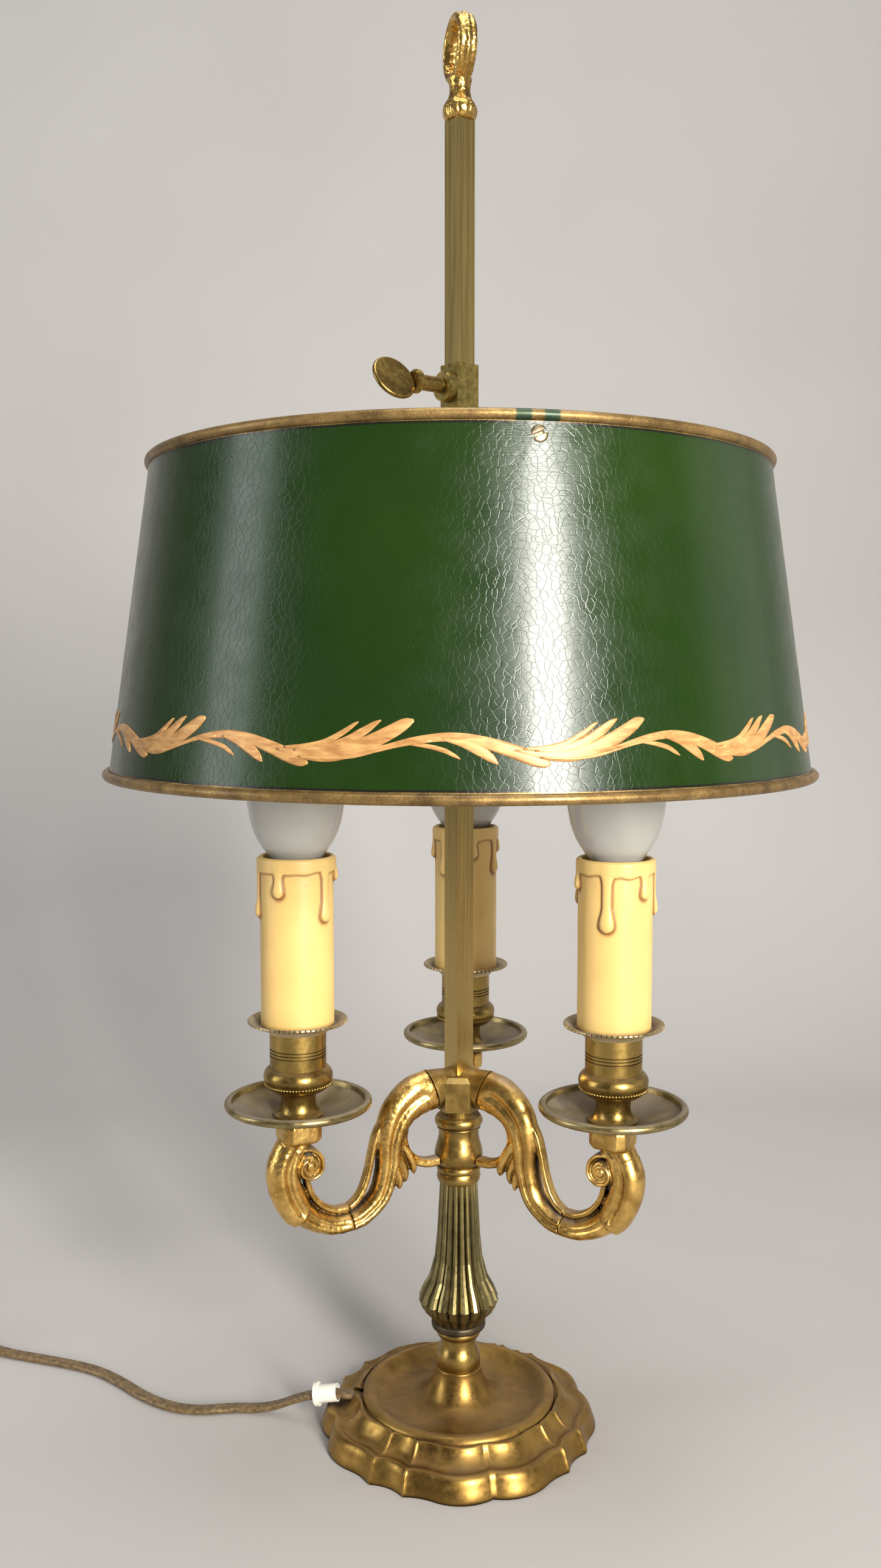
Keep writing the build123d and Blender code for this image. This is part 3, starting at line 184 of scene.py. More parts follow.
class Nodes:
    """Short calls for building a node tree."""

    def __init__(self, name):
        self.material = bpy.data.materials.new(name)
        self.material.use_nodes = True
        self.tree = self.material.node_tree
        self.tree.nodes.clear()
        self.out = self.tree.nodes.new("ShaderNodeOutputMaterial")
        self.shader = self.tree.nodes.new("ShaderNodeBsdfPrincipled")
        self.tree.links.new(self.shader.outputs[0], self.out.inputs[0])
        self.place = self.tree.nodes.new("ShaderNodeTexCoord").outputs["Object"]
        self.geometry = self.tree.nodes.new("ShaderNodeNewGeometry")

    def node(self, kind, **settings):
        n = self.tree.nodes.new(kind)
        for key, value in settings.items():
            setattr(n, key, value)
        return n

    def link(self, source, target):
        if isinstance(source, (int, float)):
            target.default_value = source
        elif isinstance(source, (tuple, list)):
            target.default_value = (*source, 1.0) if len(source) == 3 else source
        else:
            self.tree.links.new(source, target)

    def noise(self, scale, detail=3.0, rough=0.55, distortion=0.0, place=None):
        n = self.node("ShaderNodeTexNoise")
        self.link(place or self.place, n.inputs["Vector"])
        n.inputs["Scale"].default_value = scale
        n.inputs["Detail"].default_value = detail
        n.inputs["Roughness"].default_value = rough
        n.inputs["Distortion"].default_value = distortion
        return n.outputs["Fac"]

    def voronoi(self, scale, feature="F1", place=None, randomness=1.0):
        n = self.node("ShaderNodeTexVoronoi", feature=feature)
        self.link(place or self.place, n.inputs["Vector"])
        n.inputs["Scale"].default_value = scale
        n.inputs["Randomness"].default_value = randomness
        return n.outputs["Distance"]

    def stretch(self, scale):
        n = self.node("ShaderNodeMapping")
        self.link(self.place, n.inputs["Vector"])
        n.inputs["Scale"].default_value = scale
        return n.outputs[0]

    def ramp(self, source, low, high, a=0.0, b=1.0):
        n = self.node("ShaderNodeMapRange")
        n.clamp = True
        self.link(source, n.inputs["Value"])
        for key, value in (("From Min", low), ("From Max", high), ("To Min", a), ("To Max", b)):
            n.inputs[key].default_value = value
        return n.outputs[0]

    def math(self, operation, a, b=0.0):
        n = self.node("ShaderNodeMath", operation=operation)
        self.link(a, n.inputs[0])
        self.link(b, n.inputs[1])
        return n.outputs[0]

    def blend(self, factor, a, b, mode="MIX"):
        n = self.node("ShaderNodeMix", data_type="RGBA", blend_type=mode)
        self.link(factor, n.inputs[0])
        self.link(a, n.inputs[6])
        self.link(b, n.inputs[7])
        return n.outputs[2]

    def up(self):
        """How far the surface faces up."""
        n = self.node("ShaderNodeSeparateXYZ")
        self.link(self.geometry.outputs["Normal"], n.inputs[0])
        return n.outputs["Z"]

    def hollow(self, distance, low=0.35, high=0.85):
        """1 in creases and recesses, 0 in the open."""
        n = self.node("ShaderNodeAmbientOcclusion", samples=8)
        n.inputs["Distance"].default_value = distance
        return self.ramp(n.outputs["AO"], low, high, 1.0, 0.0)

    def bump(self, height, strength, distance, normal=None):
        n = self.node("ShaderNodeBump")
        n.inputs["Strength"].default_value = strength
        n.inputs["Distance"].default_value = distance
        self.link(height, n.inputs["Height"])
        if normal is not None:
            self.link(normal, n.inputs["Normal"])
        return n.outputs[0]

    def set(self, name, source):
        self.link(source, self.shader.inputs[name])


def brass(name, body, bright, dark, rough=0.28, dust=0.35, pitted=0.25, mottle=120.0,
          recess=0.004, dust_colour=(0.30, 0.25, 0.21)):
    """Cast or turned brass: patina and painted shade in the hollows, rubbed edges, dust on what faces up.
    """
    n = Nodes(name)
    n.shader.inputs["Metallic"].default_value = 1.0
    patches = n.ramp(n.noise(mottle, 5.0, 0.6), 0.38, 0.66)
    colour = n.blend(patches, body, bright)
    # patina and painted shade: the hollows are darkened towards the dark colour
    hollow = n.hollow(recess)
    colour = n.blend(hollow, colour, dark)
    edge = n.ramp(n.geometry.outputs["Pointiness"], 0.515, 0.56)
    colour = n.blend(n.math("MULTIPLY", edge, 0.7), colour, bright)
    settle = n.math("MULTIPLY", n.ramp(n.up(), 0.55, 0.95), n.ramp(n.noise(70.0, 4.0), 0.3, 0.6))
    settle = n.math("MULTIPLY", settle, dust)
    colour = n.blend(settle, colour, dust_colour)
    n.set("Base Color", colour)
    n.set("Metallic", n.math("SUBTRACT", 1.0, n.math("MULTIPLY", settle, 0.8)))
    speck = n.ramp(n.noise(420.0, 4.0, 0.7), 0.3, 0.75)
    roughness = n.math("ADD", rough, n.math("MULTIPLY", speck, 0.22))
    roughness = n.math("ADD", roughness, n.math("MULTIPLY", hollow, 0.2))
    n.set("Roughness", n.math("ADD", roughness, n.math("MULTIPLY", settle, 0.45)))
    if pitted:
        skin = n.bump(n.noise(900.0, 3.0, 0.6), pitted, 0.00012)
        n.set("Normal", n.bump(n.noise(160.0, 3.0, 0.6), pitted * 0.8, 0.0004, skin))
    return n.material


DUST = (0.27, 0.225, 0.19)
antique = brass("antique_brass", (0.26, 0.165, 0.048), (0.47, 0.315, 0.090), (0.022, 0.014, 0.006),
                rough=0.23, dust=0.45, dust_colour=DUST)
base_brass = brass("base_brass", (0.24, 0.138, 0.037), (0.45, 0.275, 0.070), (0.018, 0.010, 0.004),
                   rough=0.26, dust=0.5, mottle=45.0, recess=0.005, pitted=0.12,
                   dust_colour=(0.115, 0.070, 0.040))
gilt = brass("gilt_cast", (0.43, 0.25, 0.062), (0.87, 0.565, 0.17), (0.026, 0.012, 0.004),
             rough=0.20, dust=0.8, pitted=0.2, recess=0.0045, dust_colour=DUST)
fluted = brass("fluted_bronze", (0.16, 0.13, 0.055), (0.30, 0.24, 0.10), (0.012, 0.009, 0.004),
               rough=0.26, dust=0.3, dust_colour=DUST)
dark = brass("dark_bronze", (0.07, 0.055, 0.035), (0.13, 0.10, 0.06), (0.012, 0.009, 0.006),
             rough=0.42, dust=0.25, dust_colour=DUST)
polished = brass("polished_brass", (0.38, 0.275, 0.08), (0.50, 0.37, 0.115),
                 (0.05, 0.033, 0.015), rough=0.21, dust=0.1, pitted=0.04, mottle=14.0,
                 dust_colour=DUST)
pan_brass = brass("pan_brass", (0.25, 0.19, 0.085), (0.42, 0.33, 0.155), (0.022, 0.016, 0.008),
                  rough=0.25, dust=0.85, pitted=0.08, dust_colour=(0.24, 0.20, 0.165))
bright = brass("bright_brass", (0.34, 0.25, 0.14), (0.56, 0.44, 0.27), (0.03, 0.02, 0.01),
               rough=0.25, dust=0.0, pitted=0.1, recess=0.0012)
crown_brass = brass("crown_brass", (0.38, 0.30, 0.16), (0.60, 0.48, 0.28), (0.045, 0.032, 0.015),
                    rough=0.24, dust=0.5, pitted=0.06, dust_colour=(0.32, 0.275, 0.23))


def rod_material():
    """Drawn square bar: fine lengthwise scratches and long browner streaks, its corners lighter as a
    painted highlight.
    """
    n = Nodes("rod_brass")
    n.shader.inputs["Metallic"].default_value = 1.0
    long = n.noise(1.0, 3.0, 0.5, 0.0, n.stretch((260.0, 260.0, 7.0)))
    tone = n.ramp(n.noise(9.0, 3.0), 0.35, 0.65)
    colour = n.blend(tone, (0.42, 0.240, 0.058), (0.68, 0.425, 0.115))
    colour = n.blend(n.ramp(long, 0.35, 0.75, 0.0, 0.28), colour, (0.24, 0.135, 0.038))
    spots = n.ramp(n.noise(260.0, 4.0, 0.65), 0.60, 0.72)
    colour = n.blend(n.math("MULTIPLY", spots, 0.35), colour, (0.15, 0.085, 0.030))
    # painted highlight: the bar's corners are painted lighter
    edge = n.ramp(n.geometry.outputs["Pointiness"], 0.515, 0.56)
    colour = n.blend(n.math("MULTIPLY", edge, 0.6), colour, (0.70, 0.54, 0.22))
    n.set("Base Color", colour)
    scratches = n.noise(1.0, 2.0, 0.6, 0.0, n.stretch((900.0, 900.0, 20.0)))
    n.set("Roughness", n.ramp(scratches, 0.25, 0.75, 0.22, 0.34))
    n.set("Normal", n.bump(scratches, 0.05, 0.0002))
    return n.material


rod_brass = rod_material()


def steel_material():
    n = Nodes("plain_steel")
    n.shader.inputs["Metallic"].default_value = 1.0
    n.set("Base Color", n.blend(n.noise(150.0), (0.34, 0.33, 0.31), (0.55, 0.54, 0.51)))
    n.set("Roughness", n.ramp(n.noise(500.0), 0.2, 0.8, 0.28, 0.5))
    return n.material


def shade_paint():
    """Dark green gloss over tin, gold on the rolled rims, cream inside."""
    n = Nodes("shade_paint")
    clouds = n.ramp(n.noise(9.0, 4.0), 0.3, 0.7)
    colour = n.blend(clouds, (0.0062, 0.0235, 0.0030), (0.0130, 0.0370, 0.0022))
    specks = n.ramp(n.voronoi(560.0), 0.05, 0.10, 1.0, 0.0)
    specks = n.math("MULTIPLY", specks, n.ramp(n.noise(60.0, 2.0), 0.50, 0.66))
    colour = n.blend(n.math("MULTIPLY", specks, 0.5), colour, (0.11, 0.14, 0.09))
    spot = n.node("ShaderNodeSeparateXYZ")
    n.link(n.place, spot.inputs[0])
    x, y, z = spot.outputs
    wobble = n.math("MULTIPLY", n.math("SUBTRACT", n.noise(45.0, 2.0), 0.5), 0.0006)
    level = n.math("ADD", z, wobble)
    # gold rims, each with a dark line where the sheet starts: painted shade in the crease beside the bead
    low = n.ramp(level, 0.26625, 0.26645, 1.0, 0.0)
    high = n.ramp(level, 0.37535, 0.37555)
    crease_shade_low = n.ramp(level, 0.26700, 0.26725, 1.0, 0.0)
    crease_shade_high = n.ramp(level, 0.37455, 0.37475)
    edge = n.math("MAXIMUM", crease_shade_low, crease_shade_high)
    colour = n.blend(n.math("MULTIPLY", edge, 0.85), colour, (0.008, 0.007, 0.005))
    worn = n.ramp(n.noise(110.0, 5.0, 0.65), 0.30, 0.68)
    tan = n.blend(worn, (0.13, 0.076, 0.026), (0.40, 0.255, 0.088))
    crazed = n.ramp(n.voronoi(620.0, "DISTANCE_TO_EDGE"), 0.0, 0.07, 1.0, 0.0)
    tan = n.blend(n.math("MULTIPLY", crazed, 0.45), tan, (0.06, 0.03, 0.012))
    rims = n.math("MAXIMUM", low, high)
    # two green touches on the top rim, right of the front
    turn = n.math("ARCTAN2", x, n.math("MULTIPLY", y, -1.0))
    for centre in (0.150, 0.225):
        off = n.math("ABSOLUTE", n.math("SUBTRACT", turn, centre))
        touch = n.math("MULTIPLY", n.ramp(off, 0.018, 0.024, 1.0, 0.0), high)
        tan = n.blend(n.math("MULTIPLY", touch, 0.9), tan, (0.02, 0.06, 0.035))
    colour = n.blend(rims, colour, tan)
    # the inner face
    facing = n.node("ShaderNodeVectorMath", operation="DOT_PRODUCT")
    flat = n.node("ShaderNodeCombineXYZ")
    n.link(x, flat.inputs[0])
    n.link(y, flat.inputs[1])
    n.link(flat.outputs[0], facing.inputs[0])
    n.link(n.geometry.outputs["True Normal"], facing.inputs[1])
    inside = n.ramp(facing.outputs["Value"], -0.02, 0.0, 1.0, 0.0)
    inside = n.math("MULTIPLY", inside, n.math("SUBTRACT", 1.0, rims))
    cream = n.blend(n.ramp(n.noise(40.0, 4.0), 0.3, 0.7), (0.55, 0.51, 0.42), (0.66, 0.62, 0.53))
    colour = n.blend(inside, colour, cream)
    n.set("Base Color", colour)
    gloss = n.ramp(n.noise(90.0, 4.0), 0.3, 0.7, 0.21, 0.33)
    n.set("Roughness", n.math("ADD", gloss, n.math("MULTIPLY", n.math("MAXIMUM", rims, inside), 0.2)))
    n.set("Metallic", n.math("MULTIPLY", rims, 0.7))
    n.shader.inputs["Specular IOR Level"].default_value = 0.36
    n.shader.inputs["Coat Weight"].default_value = 0.18
    n.shader.inputs["Coat Roughness"].default_value = 0.16
    brush = n.noise(1.0, 2.0, 0.5, 0.0, n.stretch((50.0, 50.0, 2600.0)))
    lines = n.bump(brush, 0.13, 0.0003)
    crackle = n.ramp(n.voronoi(430.0, "DISTANCE_TO_EDGE"), 0.0, 0.06)
    crackled = n.bump(crackle, 0.15, 0.0002, lines)
    wavy = n.bump(n.noise(150.0, 3.0), 0.12, 0.0006, crackled)
    n.set("Normal", wavy)
    return n.material


def gold_paint():
    """Brushed gold size: warm, with darker strokes along the brush."""
    n = Nodes("gold_paint")
    strokes = n.noise(1.0, 4.0, 0.6, 0.4, n.stretch((120.0, 120.0, 520.0)))
    colour = n.blend(n.ramp(strokes, 0.34, 0.66), (0.43, 0.200, 0.062), (0.72, 0.41, 0.150))
    n.set("Base Color", colour)
    n.shader.inputs["Metallic"].default_value = 0.2
    n.set("Roughness", n.ramp(strokes, 0.2, 0.8, 0.34, 0.5))
    n.set("Normal", n.bump(strokes, 0.25, 0.0003))
    return n.material


def wax_material():
    """Cream candle sleeve, browned along the drips and a little all over by age, with painted shade in its
    creases.
    """
    n = Nodes("candle_wax")
    colour = n.blend(n.ramp(n.noise(35.0, 3.0), 0.3, 0.7), (0.76, 0.50, 0.165), (0.83, 0.585, 0.215))
    marks = n.ramp(n.noise(300.0, 2.0), 0.70, 0.78)
    colour = n.blend(n.math("MULTIPLY", marks, 0.35), colour, (0.40, 0.20, 0.06))
    stain = n.node("ShaderNodeAttribute", attribute_name="stain").outputs["Fac"]
    # painted shade: creases on the sleeve are darkened to the stain's brown where shade falls
    crease = n.math("MULTIPLY", n.hollow(0.0022, 0.40, 0.90), 0.35)
    both = n.math("MAXIMUM", crease, n.math("MULTIPLY", stain, 0.92))
    colour = n.blend(both, colour, (0.24, 0.075, 0.016))
    n.set("Base Color", colour)
    n.set("Roughness", n.ramp(n.noise(200.0), 0.2, 0.8, 0.34, 0.46))
    n.shader.inputs["Subsurface Weight"].default_value = 0.12
    n.shader.inputs["Subsurface Radius"].default_value = (0.003, 0.0015, 0.0007)
    n.shader.inputs["Subsurface Scale"].default_value = 0.4
    n.set("Normal", n.bump(n.noise(260.0, 3.0), 0.12, 0.0004))
    return n.material


def shaded_opal_material():
    n = Nodes("opal_glass")
    # The white glass is toned down to grey, partly as painted shade: the bulbs hang in the shade's shadow.
    colour = n.blend(n.ramp(n.noise(30.0, 3.0), 0.3, 0.7), (0.44, 0.43, 0.385), (0.54, 0.53, 0.48))
    n.set("Base Color", colour)
    n.set("Roughness", n.ramp(n.noise(200.0), 0.2, 0.8, 0.16, 0.24))
    n.shader.inputs["Coat Weight"].default_value = 0.5
    n.shader.inputs["Coat Roughness"].default_value = 0.05
    n.shader.inputs["Subsurface Weight"].default_value = 0.2
    n.shader.inputs["Subsurface Radius"].default_value = (0.006, 0.006, 0.005)
    n.shader.inputs["Subsurface Scale"].default_value = 0.5
    return n.material


def plastic(name, low, high, rough=0.35):
    n = Nodes(name)
    n.set("Base Color", n.blend(n.ramp(n.noise(60.0, 3.0), 0.3, 0.7), low, high))
    n.set("Roughness", n.ramp(n.noise(300.0), 0.2, 0.8, rough, rough + 0.12))
    n.set("Normal", n.bump(n.noise(700.0, 2.0), 0.08, 0.0002))
    return n.material


def flex_material():
    """Translucent gold flex with the copper showing through."""
    n = Nodes("gold_flex")
    strands = n.noise(1.0, 2.0, 0.5, 0.0, n.stretch((500.0, 500.0, 900.0)))
    colour = n.blend(n.ramp(strands, 0.3, 0.7), (0.10, 0.062, 0.025), (0.25, 0.165, 0.07))
    n.set("Base Color", colour)
    n.shader.inputs["Metallic"].default_value = 0.25
    n.set("Roughness", n.ramp(n.noise(400.0), 0.2, 0.8, 0.38, 0.50))
    n.shader.inputs["Coat Weight"].default_value = 0.2
    n.shader.inputs["Coat Roughness"].default_value = 0.35
    return n.material


steel = steel_material()
paint, gold = shade_paint(), gold_paint()
wax, opal, flex = wax_material(), shaded_opal_material(), flex_material()
ivory = plastic("ivory_plastic", (0.80, 0.77, 0.66), (0.86, 0.84, 0.75), 0.3)
black = plastic("black_plastic", (0.012, 0.012, 0.012), (0.03, 0.03, 0.03), 0.4)

SLOT_MATERIALS = {
    "antique_brass": antique, "dark_bronze": dark, "polished_brass": polished,
    "bright_brass": bright, "steel": steel, "painted_tole": paint, "gold_flex": flex,
    "ivory_plastic": ivory, "candle_plastic": wax, "black_plastic": black,
    "opal_glass": opal, "cap_nickel": steel,
}
for sub in frame["record"]["subparts"]:
    node = frame["nodes"][sub["node"]]
    for place in node.material_slots:
        place.material = SLOT_MATERIALS[sub["material_slot"]]

for names, material in (("fluted_baluster", fluted), ("stem_ring", dark),
                        ("drip_pan_left drip_pan_right drip_pan_back", pan_brass),
                        ("crown_left crown_right crown_back", crown_brass),
                        ("square_rod", rod_brass)):
    for name in names.split():
        for place in frame["nodes"][name].material_slots:
            place.material = material

# ---- cord ------------------------------------------------------------------------------

LIE = 1.55
COIL_AT = (-330.0, 22.0)
COIL_RADII = (33.7, 28.5, 23.3)
LAYERS = (1.5, 4.4, 7.3)
TURNS = 8
OVER = 10.2              # height of the last turn where it crosses the one outside it
LEAD = ((-33.0, -1.0, 9.9), (-45.3, -0.9, 13.9), (-61.85, 2.2, 10.8), (-77.0, 7.6, LIE + 0.6),
        (-92.0, 9.2, LIE), (-104.0, 7.0, LIE), (-116.0, 8.6, LIE), (-130.0, 17.0, LIE),
        (-143.0, 29.5, LIE), (-157.0, 40.0, LIE), (-178.0, 47.3, LIE), (-200.0, 54.0, LIE),
        (-211.0, 57.6, LIE + 2.0), (-221.5, 59.8, 7.5), (-233.0, 60.0, 7.0),
        (-245.0, 60.0, 5.0))
TAIL = ((-259.0, 60.0, 5.0), (-271.0, 60.0, 7.0), (-282.5, 60.1, 7.5), (-293.0, 60.4, LIE + 2.0),
        (-305.0, 60.3, LIE), (-318.0, 57.6, LIE))
END = ((-368.6, 12.0, LIE + 1.6), (-367.6, 2.0, LIE + 3.0), (-366.6, -6.0, 7.0),
       (-366.5, -15.0, 7.0))


def coil_points():
    """Turns that lie beside and on each other, then a last quarter out to the plug."""
    order = [(r, z) for k, z in enumerate(LAYERS)
             for r in (COIL_RADII if k % 2 == 0 else COIL_RADII[::-1])][:TURNS]
    steps = 16
    points = []
    for i in range(TURNS * steps + 5):
        turn = i / steps
        k = min(int(turn), TURNS - 1)
        part = turn - k
        r, z = order[k]
        if k < TURNS - 1:
            ease = smooth((part - 0.75) / 0.25)
            r, z = mix(r, order[k + 1][0], ease), mix(z, order[k + 1][1], ease)
        elif part > 0.75:
            # over the outermost turn and down beside the coil
            ease = (part - 0.75) / 0.5
            r = mix(r, 39.0, smooth(ease))
            if ease < 0.6:
                z = mix(z, OVER, smooth(ease / 0.4))
            else:
                z = mix(OVER, LIE + 1.6, smooth((ease - 0.6) / 0.4))
        angle = math.pi / 2 + 2 * math.pi * turn
        points.append((COIL_AT[0] + r * math.cos(angle), COIL_AT[1] + r * math.sin(angle), z))
    return points


def nurbs(name, points):
    curve = bpy.data.curves.new(name, "CURVE")
    curve.dimensions = "3D"
    spline = curve.splines.new("NURBS")
    spline.points.add(len(points) - 1)
    for spot, (x, y, z) in zip(spline.points, points):
        spot.co = (x * MM, y * MM, z * MM, 1.0)
    spline.order_u = 3
    spline.use_endpoint_u = True
    spline.resolution_u = 6
    return linked(name, curve)


def twin_flex():
    """Two insulated cores side by side, lying flat along the route's own curve."""
    route = nurbs("route", LEAD + TAIL + tuple(coil_points()) + END)
    line = bpy.data.meshes.new_from_object(route)
    path = [Vector(v.co) for v in line.vertices]
    bpy.data.objects.remove(route)
    core, apart, n = 1.30, 1.28, 28
    outline = []
    for i in range(n):
        a = 2 * math.pi * i / n
        c = math.cos(a)
        outline.append(((apart * (1 if c > 0 else -1) if abs(c) > 1e-6 else 0) + core * c,
                        core * math.sin(a) * (0.80 if abs(c) < 0.12 else 1.0)))
    rings = []
    for j, p in enumerate(path):
        run = path[min(j + 1, len(path) - 1)] - path[max(j - 1, 0)]
        run.normalize()
        side = run.cross(Vector((0, 0, 1)))
        side = side.normalized() if side.length > 1e-4 else Vector((0, 1, 0))
        up = side.cross(run)
        rings.append([p + side * u * MM + up * v * MM for u, v in outline])
    verts, faces = [], []
    add_shell(verts, faces, rings)
    return mesh_object("cord", verts, faces), path


cord, cord_path = twin_flex()
finish_piece(cord, "lamp", flex, ("cord_lead", "cord_tail", "cord_coil", "cord_end"))

# ---- painted border --------------------------------------------------------------------

SHADE_LOW, SHADE_HIGH = (131.55, 266.2), (115.0, 375.6)     # outer face: radius, height


def shade_radius(height):
    (r0, z0), (r1, z1) = SHADE_LOW, SHADE_HIGH
    return r0 + (r1 - r0) * (height - z0) / (z1 - z0)


# One repeat of the scroll: place round the shade in degrees, height, half width.
STROKES = (
    ((-12.5, 277.1, 0.16), (-7.9, 279.9, 0.42), (-4.4, 281.5, 0.9), (-0.6, 282.4, 1.1),
     (2.9, 281.4, 1.35), (6.4, 279.0, 1.65), (9.2, 276.5, 1.8), (11.0, 274.9, 1.35),
     (11.9, 274.4, 0.3)),
    ((-1.3, 281.9, 0.3), (1.2, 280.7, 1.0), (3.3, 278.4, 1.3), (4.7, 276.1, 0.95),
     (5.4, 274.5, 0.2)),
    ((-6.1, 280.7, 0.25), (-3.3, 279.9, 0.55), (-1.2, 278.7, 0.6), (0.1, 277.2, 0.5),
     (0.9, 276.1, 0.15)),
    ((7.4, 278.4, 0.25), (11.3, 277.1, 1.3), (15.0, 277.2, 1.8), (18.9, 279.8, 1.8),
     (22.2, 283.6, 1.65), (24.1, 286.2, 1.3), (25.2, 287.2, 0.35)),
    ((9.9, 278.3, 0.4), (13.6, 278.9, 1.15), (16.6, 280.9, 1.3), (19.0, 284.2, 1.1),
     (20.3, 286.3, 0.7), (21.1, 287.4, 0.2)),
    ((8.5, 279.0, 0.3), (11.4, 279.3, 0.7), (14.0, 280.6, 0.78), (16.3, 283.5, 0.7),
     (17.7, 285.8, 0.45), (18.3, 286.7, 0.12)),
    ((10.6, 276.6, 0.3), (14.2, 276.1, 0.32), (17.6, 276.8, 0.4), (20.8, 278.6, 0.32),
     (23.7, 280.2, 0.3), (27.6, 281.7, 0.34)),
)
# The painter's hand: how far each part of the border sits from an even spacing.
DRIFT = ((-95, -3.6), (-65, -4.6), (-35, -4.0), (-5, -1.9), (25, -0.5), (55, -2.6), (85, -3.4),
         (115, -2.2), (145, -0.8), (175, -1.6), (205, -3.0), (235, -3.4), (265, -3.6))


REPEATS = 12
BORDER_R = 131           # of the shade where the border is painted
SEAM = -95               # the drift is listed for one turn from here, in degrees


def painted_border():
    """Brush strokes as thin closed solids that stand proud of the shade."""
    verts, faces = [], []
    across, steps = 6, 26
    for repeat in range(REPEATS):
        for index, stroke in enumerate(STROKES):
            lift = 0.10 + 0.035 * index
            size = 1.2 + 0.12 * noise.noise(Vector((repeat * 3.7, index * 1.9, 0.5)))
            tilt = 0.35 * noise.noise(Vector((repeat * 1.3, index * 2.7, 4.5)))
            rings, spots = [], path_points(stroke, steps + 1)
            for j, (place, height, half) in enumerate(spots):
                before, after = spots[max(j - 1, 0)], spots[min(j + 1, steps)]
                step_u = (after[0] - before[0]) * math.radians(1) * BORDER_R
                step_z = after[1] - before[1]
                run = math.hypot(step_u, step_z) or 1.0
                side_u, side_z = -step_z / run, step_u / run
                half = max(half, 0.06) * size
                ring = []
                for i in range(across + 1):
                    u = -1 + 2 * i / across
                    ring.append((u, lift + 0.16 * (1 - u * u)))
                ring += [(1.0, -0.25), (-1.0, -0.25)]
                row = []
                for u, out in ring:
                    z = height + tilt + side_z * half * u
                    a = place + 360 // REPEATS * repeat
                    a = (a - SEAM) % 360 + SEAM
                    a += along(DRIFT, a) + math.degrees(side_u * half * u / BORDER_R)
                    r = (shade_radius(z) + out) * MM
                    row.append((r * math.sin(math.radians(a)), -r * math.cos(math.radians(a)),
                                z * MM))
                rings.append(row)
            add_shell(verts, faces, rings)
    obj = mesh_object("shade_border", verts, faces)
    finish_piece(obj, "shade_carrier", gold)


painted_border()

# ---- candle sleeves with wax drips -----------------------------------------------------

CANDLE_TOP, CANDLE_Z, CANDLE_R = 234.6, 172.2, 13.5
# Each drip: place round the sleeve in degrees seen from the front, length, width of its drop.
DRIPS = {
    "left": ((-76, 22.7, 2.5), (-23, 14.2, 2.3), (54, 23.4, 2.6), (92, 9.5, 2.0),
             (128, 19.0, 2.5), (170, 12.0, 2.2), (205, 24.0, 2.7), (244, 13.0, 2.1)),
    "right": ((-82, 11.5, 2.2), (-20, 25.4, 2.9), (41, 13.8, 2.3), (88, 21.0, 2.6),
              (126, 10.5, 2.1), (163, 23.0, 2.7), (207, 14.0, 2.2), (246, 18.0, 2.5)),
    "back": ((-84, 14.0, 2.3), (-44, 20.5, 2.6), (12, 13.0, 2.2), (62, 20.0, 2.6),
             (101, 12.0, 2.2), (150, 25.0, 2.8), (192, 13.0, 2.1), (238, 21.0, 2.6)),
}


def wax_height(drips, angle, down, seed):
    """How proud the wax stands at an angle and a distance below the top, and how stained it is."""
    edge = 5.4 + 1.3 * noise.noise(Vector((angle / 26.0, seed, 0)))
    skirt = (edge - down) / 1.1
    best = 0.85 * math.sqrt(max(0.0, 1 - (1 - min(1.0, max(0.0, skirt))) ** 2))
    stain = 0.75 * math.exp(-((down - edge - 0.15) / 0.45) ** 2)
    inside = skirt > 0.3
    for place, length, drop in drips:
        turn = (angle - place + 180) % 360 - 180
        u = abs(turn) * math.radians(1) * CANDLE_R
        if u > 8 or down > length + 2:
            continue
        neck = drop * 0.62 + 2.6 * math.exp(-max(0.0, down - edge + 1.4) / 1.3)
        share = max(0.0, min(1.0, (down - (length - 3.4 * drop)) / (2.4 * drop)))
        half = mix(neck, drop, smooth(share))
        past = down - (length - drop)
        d = math.hypot(u, past) / drop if past > 0 else u / half
        gap = (d - 1) * (drop if past > 0 else half)
        if d < 1:
            thick = mix(1.05, 1.75, smooth(share))
            best = max(best, thick * (1 - d * d) ** 0.55)
            inside = inside or gap < -0.45
        if down > edge - 0.5:
            stain = max(stain, math.exp(-((gap - 0.1) / (0.5 + 0.35 * max(0.0, past / drop))) ** 2))
    return best, 0.0 if inside else stain


